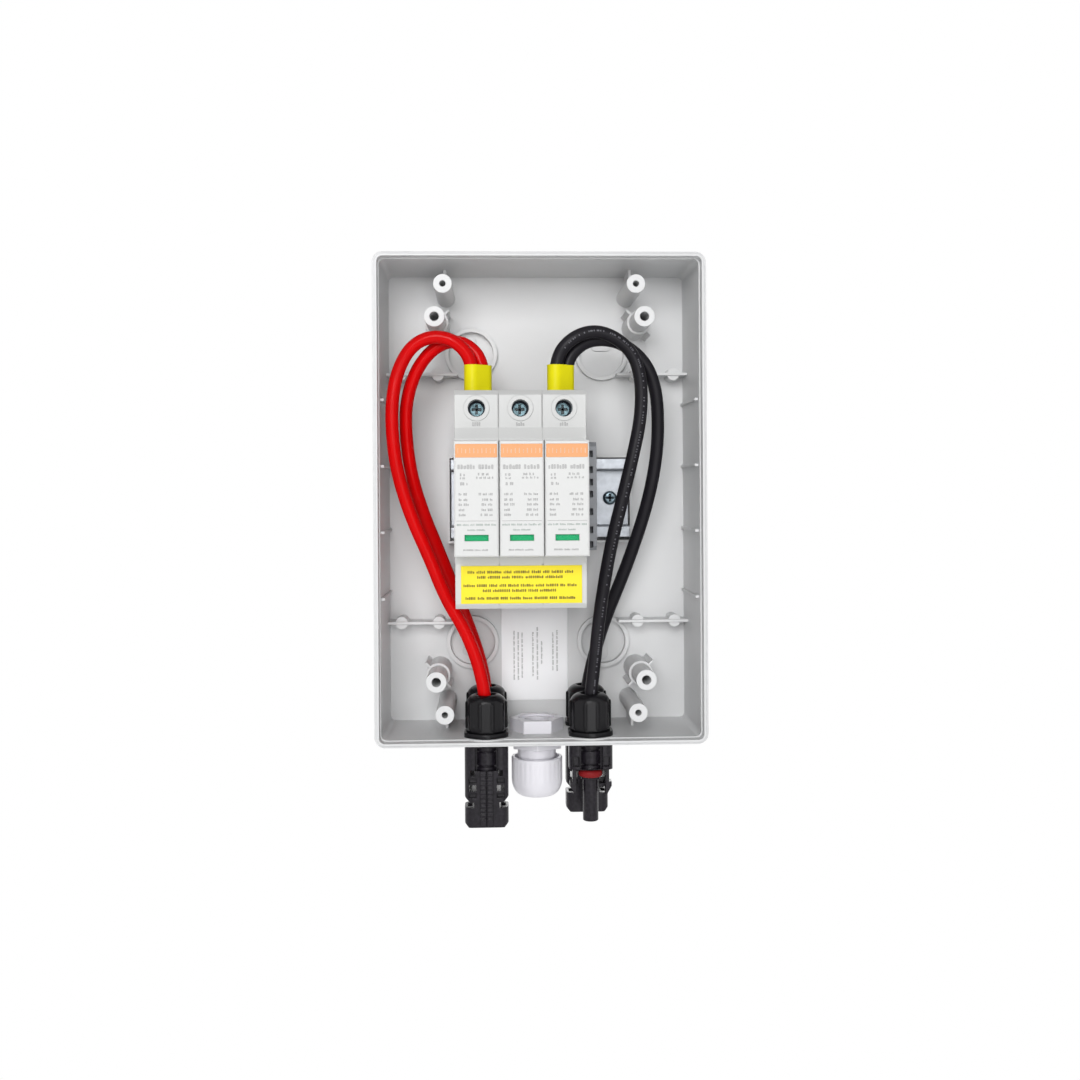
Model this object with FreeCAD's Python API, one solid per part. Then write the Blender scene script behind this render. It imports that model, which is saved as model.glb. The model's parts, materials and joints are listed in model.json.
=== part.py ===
import FreeCAD, Part
import math
import os

V = FreeCAD.Vector

# An open wall box that joins solar panel strings, with a plug-in surge protector on a short rail.
# Sizes are in millimetres. X runs to the right, Z up, and the wall is the plane Y = 0.
# A depth is a distance in front of the wall, so Y = -depth. The origin is the middle of the back.

# Moulded tray
tray_width = 142.0
tray_height = 210.0
tray_depth = 50.0
wall = 2.1
floor_thick = 3.0
outer_draft = 1.0
inner_draft = 0.6
corner_radius = 4.5
back_edge = 2.0
rim_step_depth = 5.0
rim_step = 0.5
tongue_height = 1.6
tongue_thick = 1.0

# Bosses for the lid's screws
lid_boss_x = 45.0
lid_boss_z = 78.0
lid_boss_radius = 4.4
lid_boss_below_rim = 5.0
lid_hole_radius = 2.0
lid_hole_deep = 22.0
collar_wall = 1.0
collar_depth = 25.0
fin_thick = 1.0
fin_reach = 7.8

# Smaller bosses near the end walls
small_boss_x = 41.4
small_boss_z = 92.0
small_boss_radius = 4.0
small_hole_radius = 1.35
small_hole_deep = 18.0
small_rib_depth = 21.0

# Floor rings with knock-outs, and the ribs beside them
ring_x = 30.0
ring_z = 66.0
ring_radius = 12.0
ring_wall = 1.8
ring_height = 3.0
ring_recess = 1.2
knockout_length = 9.2
knockout_width = 4.4
knockout_height = 0.9
knockout_shift = 4.0
rib_thick = 1.2
floor_rib_z = 56.0
floor_rib_height = 12.0
rib_post_radius = 2.8
rib_post_x = (45.0, 61.8)
rib_post_depth = 14.0
wall_rib_z = (14.2, 42.7)
wall_rib_proud = 1.6
wall_rib_below_rim = 8.0

# Mounting rail, its frame of ribs and its screws
rail_x = 0.9
rail_length = 80.0
rail_height = 35.0
rail_deep = 7.5
rail_thick = 1.0
rail_hat_height = 27.0
rail_bend = 0.8
rail_back_depth = 13.0
rail_frame_gap = 0.7
rail_frame_lower_gap = 1.6
rail_frame_depth = 14.5
rail_boss_radius = 5.5
rail_screw_x = 31.6
rail_screw_radius = 1.7
rail_screw_long = 10.0
rail_screw_head_radius = 3.1
rail_screw_head_high = 2.3
rail_hole_radius = 2.2
screw_fit = 0.05

# End clamp beside the protector
clamp_thick = 6.2
clamp_top = 24.4
clamp_bottom = -22.5
clamp_front_depth = 39.0
clamp_pockets = (19.2, 12.4, 7.0, 1.8, -5.8, -13.6, -20.0)
clamp_pocket_width = 2.2
clamp_pocket_height = 2.8
clamp_pocket_deep = 6.0

# Surge protector base
pole_count = 3
pole_pitch = 18.0
spd_x = -9.0
spd_height = 90.0
shelf_depth = 65.0
bay_floor_depth = 36.0
bay_top = 23.9
bay_bottom = -22.8
ramp_top = 29.5
ramp_bottom = -26.5
ramp_high = 1.5
base_edge = 2.0
seam_width = 0.4
seam_deep = 0.5
divider_thick = 1.8
divider_depth = 60.0
terminal_z = 37.5
well_radius = 3.55
well_rim_radius = 5.3
well_rim_high = 0.35
terminal_room_half_x = 5.2
terminal_room_z = (31.1, 42.4)
terminal_room_depth = (34.0, 57.0)
funnel_corner = 2.0
wire_depth = 45.0
blade_z = 15.0
socket_half_x = 4.2
socket_half_z = 3.2
socket_room_depth = 24.0
strip_thick = 1.2
strip_half_x = 3.0
strip_depth = 30.0
blade_thick = 1.0
blade_half_x = 2.6
blade_end_depth = 27.0
hook_gap = 0.3
hook_thick = 2.4
hook_lip = 2.1
hook_width = 8.0

# Rail foot
foot_half_width = 7.0
foot_neck_half_width = 5.4
foot_thick = 2.6
foot_neck_thick = 1.0
foot_top = -15.4
foot_tail = -47.6
foot_gap = 0.3
foot_slot_half_width = 2.5
foot_slot_edge = 0.9
foot_slot_high = 1.2

# Terminal screws and clamps
clamp_cage_half_x = 4.7
clamp_cage_z = (33.0, 41.6)
clamp_cage_depth = (38.6, 52.0)
clamp_cage_wall = 1.5
clamp_cage_front = 3.4
terminal_screw_radius = 2.3
terminal_head_radius = 2.8
terminal_head_depth = (52.3, 54.8)
terminal_screw_tip = 48.9
slot_width = 1.0
slot_deep = 1.2

# Plug-in modules
module_top = 23.7
module_bottom = -22.6
module_front_depth = 83.0
module_gap = 0.3
module_wall = 1.2
module_front_wall = 1.5
module_head_depth = 62.6
module_edge = 0.8
module_back_thick = 2.0
module_seat_gap = 0.3
grip_count = 4
grip_pitch = 2.2
grip_deep = 0.5
grip_width = 1.0
window_z = -15.05
window_half_x = 4.75
window_half_z = 1.25
window_fit = 0.1
window_flange = 0.9
window_flange_thick = 0.5
flag_thick = 1.7
flag_half_x = 5.3
flag_high = 7.4
flag_travel = 3.5
flag_stop_gap = 0.7
flag_bottom = module_bottom + module_wall + flag_stop_gap + flag_travel
flag_gap = 0.3
guide_lip = 0.8
flag_tab = 1.6
varistor_half_x = 5.4
varistor_z = (-11.5, 20.5)
varistor_back = 44.0
varistor_foot_thick = 6.0
varistor_flag_room = 5.4

# Leads and their twin ferrules
lead_radius = 2.8
ferrule_z = (45.2, 57.0)
ferrule_wall = 0.8
ferrule_pair_x = 2.3
ferrule_pair_depth = 1.75
ferrule_pocket = 7.0
ferrule_fit = 0.1
ferrule_flare = 0.35
ferrule_flare_deep = 2.5
barrel_half_x = 2.6
barrel_half_depth = 2.2
barrel_end_z = 34.0
funnel_clear_x = 1.0
funnel_clear_depth = 2.2
funnel_half_x = barrel_half_x + funnel_clear_x
funnel_half_depth = barrel_half_depth + funnel_clear_depth
positive_ferrule_shift = 0.5
negative_ferrule_shift = -0.2

# Holes in the bottom wall
fittings_x = -1.3
connector_x = 22.5
connector_front_depth = 37.5
connector_rear_depth = 14.5
outer_seat_z = -104.2
inner_seat_z = -102.2
seat_fit = 0.3
pad_margin = 0.3

# Panel connectors
spigot_radius = 5.9
spigot_fit = 0.2
spigot_top_z = -91.8
contact_top_z = -97.0
contact_radius = 2.2
contact_fit = 0.1
lead_fit = 0.35
panel_seal_thick = 1.2
panel_seal_radius = 8.6
shell_half_x = 9.4
shell_half_depth = 6.0
shell_corner = 3.4
neck_recess_z = (-116.4, -106.6)
neck_recess_half_x = 4.9
neck_recess_deep = 3.6
neck_radius = 4.7
neck_groove = 0.7
window_spans = ((-118.6, -116.1, 5.0, 6.9), (-125.1, -122.4, 4.4, 7.7))
pocket_spans = ((-121.6, -119.4), (-127.9, -125.9))
pocket_deep = 2.6
wing_end_z = -127.6
wing_chamfer = 2.2
notch_z = (-132.1, -129.8)
notch_reach = 4.0
socket_end_z = -140.6
head_corner = 1.8
latch_slot_x = (6.1, 8.1)
latch_slot_half_depth = 2.8
mate_bore_radius = 3.6
mate_bore_top_z = -112.0
pin_radius = 1.3
pin_end_z = -132.4
pin_hole_radius = 1.4
pin_hole_deep = 16.0
spine_half_x = 2.75
spine_proud = 0.7
spine_groove = 0.5
rib_pitch = 1.9
rib_high = 0.3
rib_wide = 0.9

# Connector with a slim nose
shoulder_end_z = -116.6
shoulder_recess_x = (5.2, 7.9)
shoulder_recess_z = (-115.2, -111.0)
nose_root_radius = 4.2
nose_radius = 3.35
nose_end_z = -139.6
nose_seal_z = (-120.6, -117.2)
nose_seal_radius = 5.3
nose_seal_groove = 0.9
finger_x = (6.3, 7.9)
finger_half_depth = 2.6
finger_end_z = -127.9
finger_hook = 1.1
finger_hook_start_z = -122.5

# Nuts inside the box
lock_nut_thick = 2.0
lock_nut_radius = 10.2
lock_nut_flats = 9.5
nut_gap = 0.2
cap_nut_top_z = -84.4
cap_nut_sides = 10
cap_nut_flats = 8.3
cap_nut_corner = 9.1
cap_nut_shoulder_z = -89.6
cap_nut_top_radius = 5.6
cap_nut_rib_half = 0.65
cap_nut_opening = 4.4
lead_seal_radius = 5.3
lead_seal_z = (-91.6, -87.6)

# Cable gland
gland_x = -1.6
gland_depth = 26.0
gland_thread_radius = 7.9
gland_fit = 0.2
gland_bore = 5.6
gland_nut_flats = 10.4
gland_nut_thick = 5.4
gland_nut_turn = 30.0
gland_nut_corner = 11.9
gland_top_below_nut = 0.9
gland_washer_radius = 11.0
gland_washer_thick = 1.4
gland_hex_flats = 10.4
gland_hex_end_z = -109.6
gland_body_end_z = -118.0
gland_neck_radius = 8.4
gland_cap_z = (-130.8, -113.9)
gland_cap_radius = 11.2
gland_cap_lip = 1.3
gland_cap_lip_deep = 1.6
gland_cap_flutes = 24
gland_cap_flute = 0.35
gland_cap_dome_z = -123.6
gland_cap_mouth = 5.4
gland_cap_mouth_deep = 3.0
gland_seal_radius = 6.6
gland_seal_bore = 4.8
gland_seal_z = (-128.4, -109.5)
gland_seal_nose = 5.2

# Labels
label_thick = 0.3
spd_label_x = (-33.7, 16.0)
spd_label_z = (-42.7, -27.2)
floor_label_x = (-16.8, 13.7)
floor_label_z = (-93.2, -40.0)

# Lead routes, as the leads run from ferrule to connector
positive_front_route = (
    (-28.8, -46.8, 50.0), (-28.8, -46.8, 58.8), (-35.3, -48.2, 66.9), (-44.8, -47.4, 69.6),
    (-54.0, -46.2, 66.0), (-60.2, -45.0, 56.4), (-63.1, -44.6, 43.5), (-63.3, -44.2, 28.5),
    (-61.3, -43.6, 11.8), (-55.6, -42.6, -7.2), (-47.6, -41.4, -25.2), (-41.0, -40.0, -42.5),
    (-32.4, -38.8, -57.0), (-26.6, -37.8, -72.6), (-23.8, -37.5, -88.5), (-23.8, -37.5, -97.0))
positive_rear_route = (
    (-24.2, -43.2, 50.0), (-24.2, -43.2, 58.8), (-31.0, -42.0, 66.8), (-39.8, -40.5, 68.0),
    (-48.0, -39.3, 63.0), (-54.5, -38.0, 53.2), (-58.0, -36.6, 40.1), (-57.8, -34.8, 25.4),
    (-55.8, -32.4, 9.9), (-51.0, -28.4, -6.5), (-44.8, -22.8, -22.5), (-39.2, -18.0, -37.5),
    (-33.3, -15.8, -52.5), (-28.3, -14.8, -66.5), (-25.0, -14.5, -78.5), (-23.8, -14.5, -88.5),
    (-23.8, -14.5, -97.0))
negative_front_route = (
    (6.5, -46.8, 50.0), (6.5, -46.8, 59.0), (11.8, -48.4, 67.2), (21.4, -47.5, 71.7),
    (31.2, -46.4, 69.7), (40.2, -45.2, 62.1), (43.6, -44.6, 50.3), (43.3, -43.8, 34.2),
    (39.6, -43.0, 17.0), (35.3, -42.0, -0.5), (30.9, -40.6, -18.0), (27.6, -39.2, -36.1),
    (25.0, -38.2, -54.0), (23.5, -37.7, -69.0), (22.2, -37.5, -80.0), (21.2, -37.5, -89.0),
    (21.2, -37.5, -97.0))
negative_rear_route = (
    (11.1, -43.2, 50.0), (11.1, -43.2, 58.8), (18.0, -42.2, 66.8), (27.0, -40.8, 68.9),
    (36.6, -39.5, 66.8), (46.0, -38.3, 59.3), (50.8, -36.8, 48.0), (52.1, -34.7, 33.0),
    (51.4, -32.6, 17.0), (48.2, -30.2, -0.5), (43.3, -26.8, -17.5), (37.1, -22.8, -35.5),
    (30.6, -18.8, -52.0), (26.0, -15.8, -66.8), (22.9, -14.6, -79.0), (21.2, -14.5, -89.0),
    (21.2, -14.5, -97.0))

# Sizes that follow from those above
half_width = tray_width / 2
half_height = tray_height / 2
lid_boss_depth = tray_depth - lid_boss_below_rim
rail_front_depth = rail_back_depth + rail_deep
spd_left = spd_x - pole_count * pole_pitch / 2
spd_right = spd_x + pole_count * pole_pitch / 2
pole_x = [spd_left + pole_pitch * (i + 0.5) for i in range(pole_count)]
module_rear_depth = bay_floor_depth + module_seat_gap
module_half_x = (pole_pitch - module_gap) / 2
module_rear_half_x = (pole_pitch - divider_thick) / 2 - module_gap
flag_front = module_front_depth - module_front_wall - window_flange_thick - flag_gap
flag_back = flag_front - flag_thick
varistor_front = flag_back - flag_tab - varistor_flag_room
shell_top_z = outer_seat_z - panel_seal_thick
gland_nut_top_z = inner_seat_z + gland_nut_thick
quarter = math.pi / 2


def block(x0, x1, d0, d1, z0, z1):
    """A square-cornered block between two depths."""
    return Part.makeBox(x1 - x0, d1 - d0, z1 - z0, V(x0, -d1, z0))


def post(radius, x, z, d0, d1):
    """A round bar that stands out from the wall."""
    return Part.makeCylinder(radius, d1 - d0, V(x, -d0, z), V(0, -1, 0))


def column(radius, x, depth, z0, z1):
    """A round bar that runs up and down."""
    return Part.makeCylinder(radius, z1 - z0, V(x, -depth, z0), V(0, 0, 1))


def cone(radius0, radius1, x, depth, z0, z1):
    return Part.makeCone(radius0, radius1, z1 - z0, V(x, -depth, z0), V(0, 0, 1))


def prism(sides, flats, x, depth, z0, z1, turned=0.0):
    """A regular bar that runs up and down; flats is the distance from its middle to a flat."""
    reach = flats / math.cos(math.pi / sides)
    points = []
    for i in range(sides + 1):
        turn = (i + 0.5) * 2 * math.pi / sides + math.radians(turned)
        points.append(V(x + reach * math.cos(turn), reach * math.sin(turn) - depth, z0))
    return Part.Face(Part.makePolygon(points)).extrude(V(0, 0, z1 - z0))


def rounded_wire(half_a, half_b, radius, place):
    """A rounded rectangle; place(a, b) puts each of its points in space."""
    edges = []
    first = None
    last = None
    for k, (side_a, side_b) in enumerate(((1, 1), (-1, 1), (-1, -1), (1, -1))):
        bend = []
        for turn in (0, 0.5, 1):
            a = side_a * (half_a - radius) + radius * math.cos((k + turn) * quarter)
            b = side_b * (half_b - radius) + radius * math.sin((k + turn) * quarter)
            bend.append(place(a, b))
        if last is not None:
            edges.append(Part.makeLine(last, bend[0]))
        edges.append(Part.Arc(*bend).toShape())
        first = first or bend[0]
        last = bend[2]
    edges.append(Part.makeLine(last, first))
    return Part.Wire(edges)


def facing_wire(half_x, half_z, radius, depth, x=0.0, z=0.0):
    """A rounded rectangle that faces the viewer."""
    return rounded_wire(half_x, half_z, radius, lambda a, b: V(x + a, -depth, z + b))


def plan_bar(half_x, half_depth, radius, x, depth, z0, z1):
    """A rounded bar that runs up and down, drawn in plan."""
    wire = rounded_wire(half_x, half_depth, radius, lambda a, b: V(x + a, b - depth, z0))
    return Part.Face(wire).extrude(V(0, 0, z1 - z0))


def side_profile(points, x0, x1):
    """A bar along X whose outline is a list of depth and height pairs."""
    corners = [V(x0, -d, z) for d, z in points]
    return Part.Face(Part.makePolygon(corners + corners[:1])).extrude(V(x1 - x0, 0, 0))


def ring(outer, inner, x, depth, z0, z1):
    return column(outer, x, depth, z0, z1).cut(column(inner, x, depth, z0, z1))


def mirrored_up(shape):
    """The same shape on the other side of the rail's middle line."""
    return shape.mirror(V(0, 0, 0), V(0, 0, 1))


def tray_shell():
    """Drafted walls and floor, with a tongue on the rim for the lid's seal."""
    back_x = half_width - outer_draft
    back_z = half_height - outer_draft
    outside = Part.makeLoft([
        facing_wire(back_x, back_z, corner_radius, 0),
        facing_wire(half_width, half_height, corner_radius, tray_depth)], True, True)
    back_edges = [e for e in outside.Edges if e.BoundBox.YMin > -0.01]
    outside = outside.makeFillet(back_edge, back_edges)
    mouth_x = half_width - wall
    mouth_z = half_height - wall
    inner_corner = corner_radius - wall
    step_depth = tray_depth - rim_step_depth
    floor_x = mouth_x - rim_step - inner_draft
    floor_z = mouth_z - rim_step - inner_draft
    inside = Part.makeLoft([
        facing_wire(floor_x, floor_z, inner_corner, floor_thick),
        facing_wire(mouth_x - rim_step, mouth_z - rim_step, inner_corner, step_depth)], True, True)
    mouth = Part.Face(facing_wire(mouth_x, mouth_z, inner_corner, step_depth))
    mouth = mouth.extrude(V(0, -2 * rim_step_depth, 0))
    ledge_depth = tray_depth - tongue_height
    tongue_x = mouth_x + tongue_thick
    tongue_z = mouth_z + tongue_thick
    keep = Part.Face(facing_wire(tongue_x, tongue_z, inner_corner + tongue_thick, ledge_depth))
    keep = keep.extrude(V(0, -2 * tongue_height, 0))
    ledge = block(-tray_width, tray_width, ledge_depth, tray_depth + 1, -tray_height, tray_height)
    return outside.cut(inside.fuse(mouth)).cut(ledge.cut(keep))


def lid_boss(side_x, side_z):
    """A slim boss on a collar, with two fins across the line to the tray's corner."""
    x = side_x * lid_boss_x
    z = side_z * lid_boss_z
    collar_radius = lid_boss_radius + collar_wall
    shape = post(lid_boss_radius, x, z, floor_thick - 1, lid_boss_depth)
    shape = shape.fuse(post(collar_radius, x, z, floor_thick - 1, collar_depth))
    fin = block(-fin_reach, fin_reach, floor_thick - 1, collar_depth, -fin_thick / 2, fin_thick / 2)
    fin.rotate(V(0, 0, 0), V(0, 1, 0), 45 * side_x * side_z)
    fin.translate(V(x, 0, z))
    return shape.fuse(fin)


def lid_hole(side_x, side_z):
    return post(lid_hole_radius, side_x * lid_boss_x, side_z * lid_boss_z,
                lid_boss_depth - lid_hole_deep, lid_boss_depth + 1)


def small_boss(side_x, side_z):
    """A plain boss, tied to the nearest end wall by a thin rib."""
    x = side_x * small_boss_x
    z = side_z * small_boss_z
    shape = post(small_boss_radius, x, z, floor_thick - 1, lid_boss_depth)
    ends = sorted((z, side_z * (half_height - wall)))
    rib = block(x - rib_thick / 2, x + rib_thick / 2, floor_thick - 1, small_rib_depth, *ends)
    return shape.fuse(rib)


def small_hole(side_x, side_z):
    return post(small_hole_radius, side_x * small_boss_x, side_z * small_boss_z,
                lid_boss_depth - small_hole_deep, lid_boss_depth + 1)


def ring_wall_shape(side_x, side_z):
    return post(ring_radius, side_x * ring_x, side_z * ring_z,
                floor_thick - 1, floor_thick + ring_height)


def ring_pocket(side_x, side_z):
    """The recess inside a floor ring, round a raised knock-out."""
    x = side_x * ring_x
    z = side_z * ring_z
    bottom = floor_thick - ring_recess
    pocket = post(ring_radius - ring_wall, x, z, bottom, floor_thick + ring_height + 1)
    upright = side_x * side_z < 0
    half_long = knockout_length / 2
    half_wide = knockout_width / 2
    size = (half_wide, half_long) if upright else (half_long, half_wide)
    shift = -knockout_shift if side_z < 0 else knockout_shift
    island = Part.Face(facing_wire(*size, half_wide - 0.05, bottom, x, z + shift))
    return pocket.cut(island.extrude(V(0, -knockout_height, 0)))


def floor_rib(side_x, side_z):
    """A rib from a floor ring to the side wall, with two round posts on it."""
    ring_drop = ring_z - floor_rib_z
    start = ring_x + math.sqrt(ring_radius ** 2 - ring_drop ** 2) - ring_wall / 4
    top = floor_thick + floor_rib_height
    z = side_z * floor_rib_z
    xs = sorted((side_x * start, side_x * (half_width - wall)))
    shape = block(*xs, floor_thick - 1, top, z - rib_thick / 2, z + rib_thick / 2)
    for x in rib_post_x:
        shape = shape.fuse(post(rib_post_radius, side_x * x, z, floor_thick - 1, rib_post_depth))
    return shape


def wall_rib(side_x, z):
    """A short rib up a side wall."""
    face = half_width - wall - rim_step - wall_rib_proud
    xs = sorted((side_x * face, side_x * (half_width - wall)))
    top = tray_depth - wall_rib_below_rim
    return block(*xs, floor_thick - 1, top, z - rib_thick / 2, z + rib_thick / 2)


def rail_frame():
    """Low ribs round the rail, and the two bosses that its screws go into."""
    half_long = rail_length / 2 + rail_frame_gap
    top = rail_height / 2 + rail_frame_gap
    bottom = -rail_height / 2 - rail_frame_lower_gap
    outer = block(rail_x - half_long - rib_thick, rail_x + half_long + rib_thick,
                  floor_thick - 1, rail_frame_depth, bottom - rib_thick, top + rib_thick)
    inner = block(rail_x - half_long, rail_x + half_long,
                  floor_thick - 2, rail_frame_depth + 1, bottom, top)
    shape = outer.cut(inner)
    for side in (-1, 1):
        x = rail_x + side * rail_screw_x
        shape = shape.fuse(post(rail_boss_radius, x, 0, floor_thick - 1, rail_back_depth))
    return shape


def rail_pilot(side):
    """The hole that a rail screw cuts its thread in."""
    x = rail_x + side * rail_screw_x
    hole = rail_screw_radius + screw_fit
    return post(hole, x, 0, rail_back_depth - rail_screw_long, rail_back_depth + 1)


def bottom_holes():
    """Place, hole radius and seat radius of each fitting in the bottom wall."""
    radius = spigot_radius + spigot_fit
    seat = lock_nut_radius + seat_fit
    holes = [(fittings_x + side * connector_x, depth, radius, seat)
             for side in (-1, 1) for depth in (connector_front_depth, connector_rear_depth)]
    gland_seat = max(gland_washer_radius, gland_nut_corner) + seat_fit
    return holes + [(gland_x, gland_depth, gland_thread_radius + gland_fit, gland_seat)]


def enclosure_base():
    shape = tray_shell()
    added = [rail_frame()]
    removed = [rail_pilot(-1), rail_pilot(1)]
    for side_x in (-1, 1):
        for side_z in (-1, 1):
            added += [lid_boss(side_x, side_z), small_boss(side_x, side_z)]
            added += [ring_wall_shape(side_x, side_z), floor_rib(side_x, side_z)]
            added += [wall_rib(side_x, side_z * z) for z in wall_rib_z]
            removed += [lid_hole(side_x, side_z), small_hole(side_x, side_z)]
            removed.append(ring_pocket(side_x, side_z))
    for x, depth, radius, seat in bottom_holes():
        pad = column(seat + pad_margin, x, depth, outer_seat_z, inner_seat_z)
        added.append(pad)
        removed.append(column(seat, x, depth, outer_seat_z - 2 * wall, outer_seat_z))
        removed.append(column(seat, x, depth, inner_seat_z, inner_seat_z + wall))
        removed.append(column(radius, x, depth, outer_seat_z - 1, inner_seat_z + 1))
    shape = shape.multiFuse(added)
    return shape.cut(Part.makeCompound(removed)).removeSplitter()


def din_rail():
    """A folded top-hat rail with a screw hole near each end."""
    half = rail_height / 2
    hat = rail_hat_height / 2
    back = rail_back_depth
    front = rail_front_depth
    outline = [(front, half), (front - rail_thick, half), (front - rail_thick, hat), (back, hat),
               (back, -hat), (front - rail_thick, -hat), (front - rail_thick, -half),
               (front, -half), (front, rail_thick - hat), (back + rail_thick, rail_thick - hat),
               (back + rail_thick, hat - rail_thick), (front, hat - rail_thick)]
    x0 = rail_x - rail_length / 2
    shape = side_profile(outline, x0, x0 + rail_length)
    bends = []
    for edge in shape.Edges:
        middle = edge.CenterOfMass
        along = abs(edge.BoundBox.XLength - rail_length) < 0.01
        if along and abs(middle.z) < half - 0.01:
            bends.append(edge)
    shape = shape.makeFillet(rail_bend, bends)
    for side in (-1, 1):
        x = rail_x + side * rail_screw_x
        shape = shape.cut(post(rail_hole_radius, x, 0, back - 1, back + rail_thick + 1))
    return shape


def cross_recess(x, z, top, size):
    """The cross in a screw's head."""
    half = slot_width / 2
    bars = block(x - size, x + size, top - slot_deep, top + 1, z - half, z + half)
    return bars.fuse(block(x - half, x + half, top - slot_deep, top + 1, z - size, z + size))


def rail_screw(side):
    x = rail_x + side * rail_screw_x
    seat = rail_back_depth + rail_thick
    head = post(rail_screw_head_radius, x, 0, seat, seat + rail_screw_head_high)
    top_edge = [e for e in head.Edges if abs(e.CenterOfMass.y + seat + rail_screw_head_high) < 0.01]
    head = head.makeFillet(rail_screw_head_high * 0.6, top_edge)
    tip = rail_back_depth - rail_screw_long + 1
    shank = post(rail_screw_radius, x, 0, tip, seat + 0.5)
    recess = cross_recess(x, 0, seat + rail_screw_head_high, rail_screw_head_radius * 0.6)
    return head.fuse(shank).cut(recess)


def end_clamp():
    """A moulded stop that grips the rail, with a column of pockets in its front."""
    x0 = spd_right + hook_gap
    x1 = x0 + clamp_thick
    grip = rail_height / 2 + hook_gap
    lip_back = rail_front_depth - rail_thick - hook_gap
    back = lip_back - hook_lip
    outline = [(clamp_front_depth, clamp_top - 2), (clamp_front_depth - 2, clamp_top),
               (rail_front_depth + 1, clamp_top), (back, grip + hook_thick), (back, grip - hook_lip),
               (lip_back, grip - hook_lip), (lip_back, grip), (rail_front_depth, grip),
               (rail_front_depth, -grip), (lip_back, -grip), (lip_back, hook_lip - grip),
               (back, hook_lip - grip), (back, -grip - hook_thick),
               (rail_front_depth + 1, clamp_bottom), (clamp_front_depth - 2, clamp_bottom),
               (clamp_front_depth, clamp_bottom + 2)]
    shape = side_profile(outline, x0, x1)
    half = clamp_pocket_height / 2
    pocket_x = x0 + 2.4
    for z in clamp_pockets:
        pocket = block(pocket_x, pocket_x + clamp_pocket_width, clamp_front_depth - clamp_pocket_deep,
                       clamp_front_depth + 1, z - half, z + half)
        shape = shape.cut(pocket)
    return shape


def pole_body(x):
    """A pole's side view: two terminal shoulders with the module bay between them."""
    half = spd_height / 2
    back = rail_front_depth
    crest = shelf_depth + ramp_high
    outline = [(back, half - 1), (back + 2, half), (shelf_depth - base_edge, half),
               (shelf_depth, half - base_edge), (shelf_depth, ramp_top), (crest, bay_top + 1),
               (crest, bay_top), (bay_floor_depth, bay_top), (bay_floor_depth, bay_bottom),
               (crest, bay_bottom), (crest, bay_bottom - 1), (shelf_depth, ramp_bottom),
               (shelf_depth, base_edge - half), (shelf_depth - base_edge, -half), (back + 2, -half),
               (back, 1 - half)]
    return side_profile(outline, x - pole_pitch / 2, x + pole_pitch / 2)


def bay_cheeks(x):
    """The thin walls at both sides of a pole's bay."""
    walls = []
    for side in (-1, 1):
        outer = x + side * pole_pitch / 2
        xs = sorted((outer, outer - side * divider_thick / 2))
        walls.append(block(*xs, bay_floor_depth - 1, divider_depth, bay_bottom - 1, bay_top + 1))
    return walls


def rail_hook(x):
    """The fixed hook over the rail's upper flange."""
    grip = rail_height / 2 + hook_gap
    lip_back = rail_front_depth - rail_thick - hook_gap
    leg = block(x - hook_width / 2, x + hook_width / 2, lip_back - hook_lip,
                rail_front_depth + 1, grip, grip + hook_thick)
    lip = block(x - hook_width / 2, x + hook_width / 2, lip_back - hook_lip,
                lip_back, grip - hook_lip, grip + 1)
    return leg.fuse(lip)


def seam_grooves(x, side):
    """Half of the groove where two poles meet, on both shelves."""
    seam = x + side * pole_pitch / 2
    xs = sorted((seam + side, seam - side * seam_width / 2))
    return [block(*xs, shelf_depth - seam_deep, shelf_depth + 1, z0, z1)
            for z0, z1 in ((ramp_top, spd_height / 2 + 1), (-spd_height / 2 - 1, ramp_bottom))]


def upper_terminal_room(x):
    """Well, clamp room, wire funnel, strip way and blade socket at one upper terminal."""
    z0, z1 = terminal_room_z
    room = block(x - terminal_room_half_x, x + terminal_room_half_x, *terminal_room_depth, z0, z1)
    well = post(well_radius, x, terminal_z, terminal_room_depth[1] - 1, shelf_depth + 1)
    corner = min(funnel_corner, funnel_half_x * 0.9, funnel_half_depth * 0.9)
    funnel = plan_bar(funnel_half_x, funnel_half_depth, corner, x, wire_depth, z1 - 1,
                      spd_height / 2 + 1)
    way_half = strip_half_x + hook_gap
    way_front = strip_depth + strip_thick + hook_gap
    way = block(x - way_half, x + way_half, strip_depth - hook_gap, way_front,
                blade_z, z1)
    riser = block(x - way_half, x + way_half, strip_depth - hook_gap, terminal_room_depth[0] + 1,
                  z0, z1)
    socket = block(x - socket_half_x, x + socket_half_x, socket_room_depth, bay_floor_depth - 1.5,
                   blade_z - socket_half_z, blade_z + socket_half_z)
    slot_half_x = blade_half_x + 0.5
    slot_half_z = blade_thick / 2 + 0.4
    slot = block(x - slot_half_x, x + slot_half_x, socket_room_depth, bay_floor_depth + 1,
                 blade_z - slot_half_z, blade_z + slot_half_z)
    return [room, well, funnel, way, riser, socket, slot]


def foot_channel():
    """The guide for the rail foot, narrower at its mouth so that the foot stays in."""
    gap = foot_gap
    back = rail_front_depth
    neck = block(spd_x - foot_neck_half_width - gap, spd_x + foot_neck_half_width + gap, back - 1,
                 back + gap + foot_neck_thick + gap, -spd_height, foot_top + gap)
    wide = block(spd_x - foot_half_width - gap, spd_x + foot_half_width + gap,
                 back + foot_neck_thick, back + gap + foot_thick + gap, -spd_height, foot_top + gap)
    return neck.fuse(wide)


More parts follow.
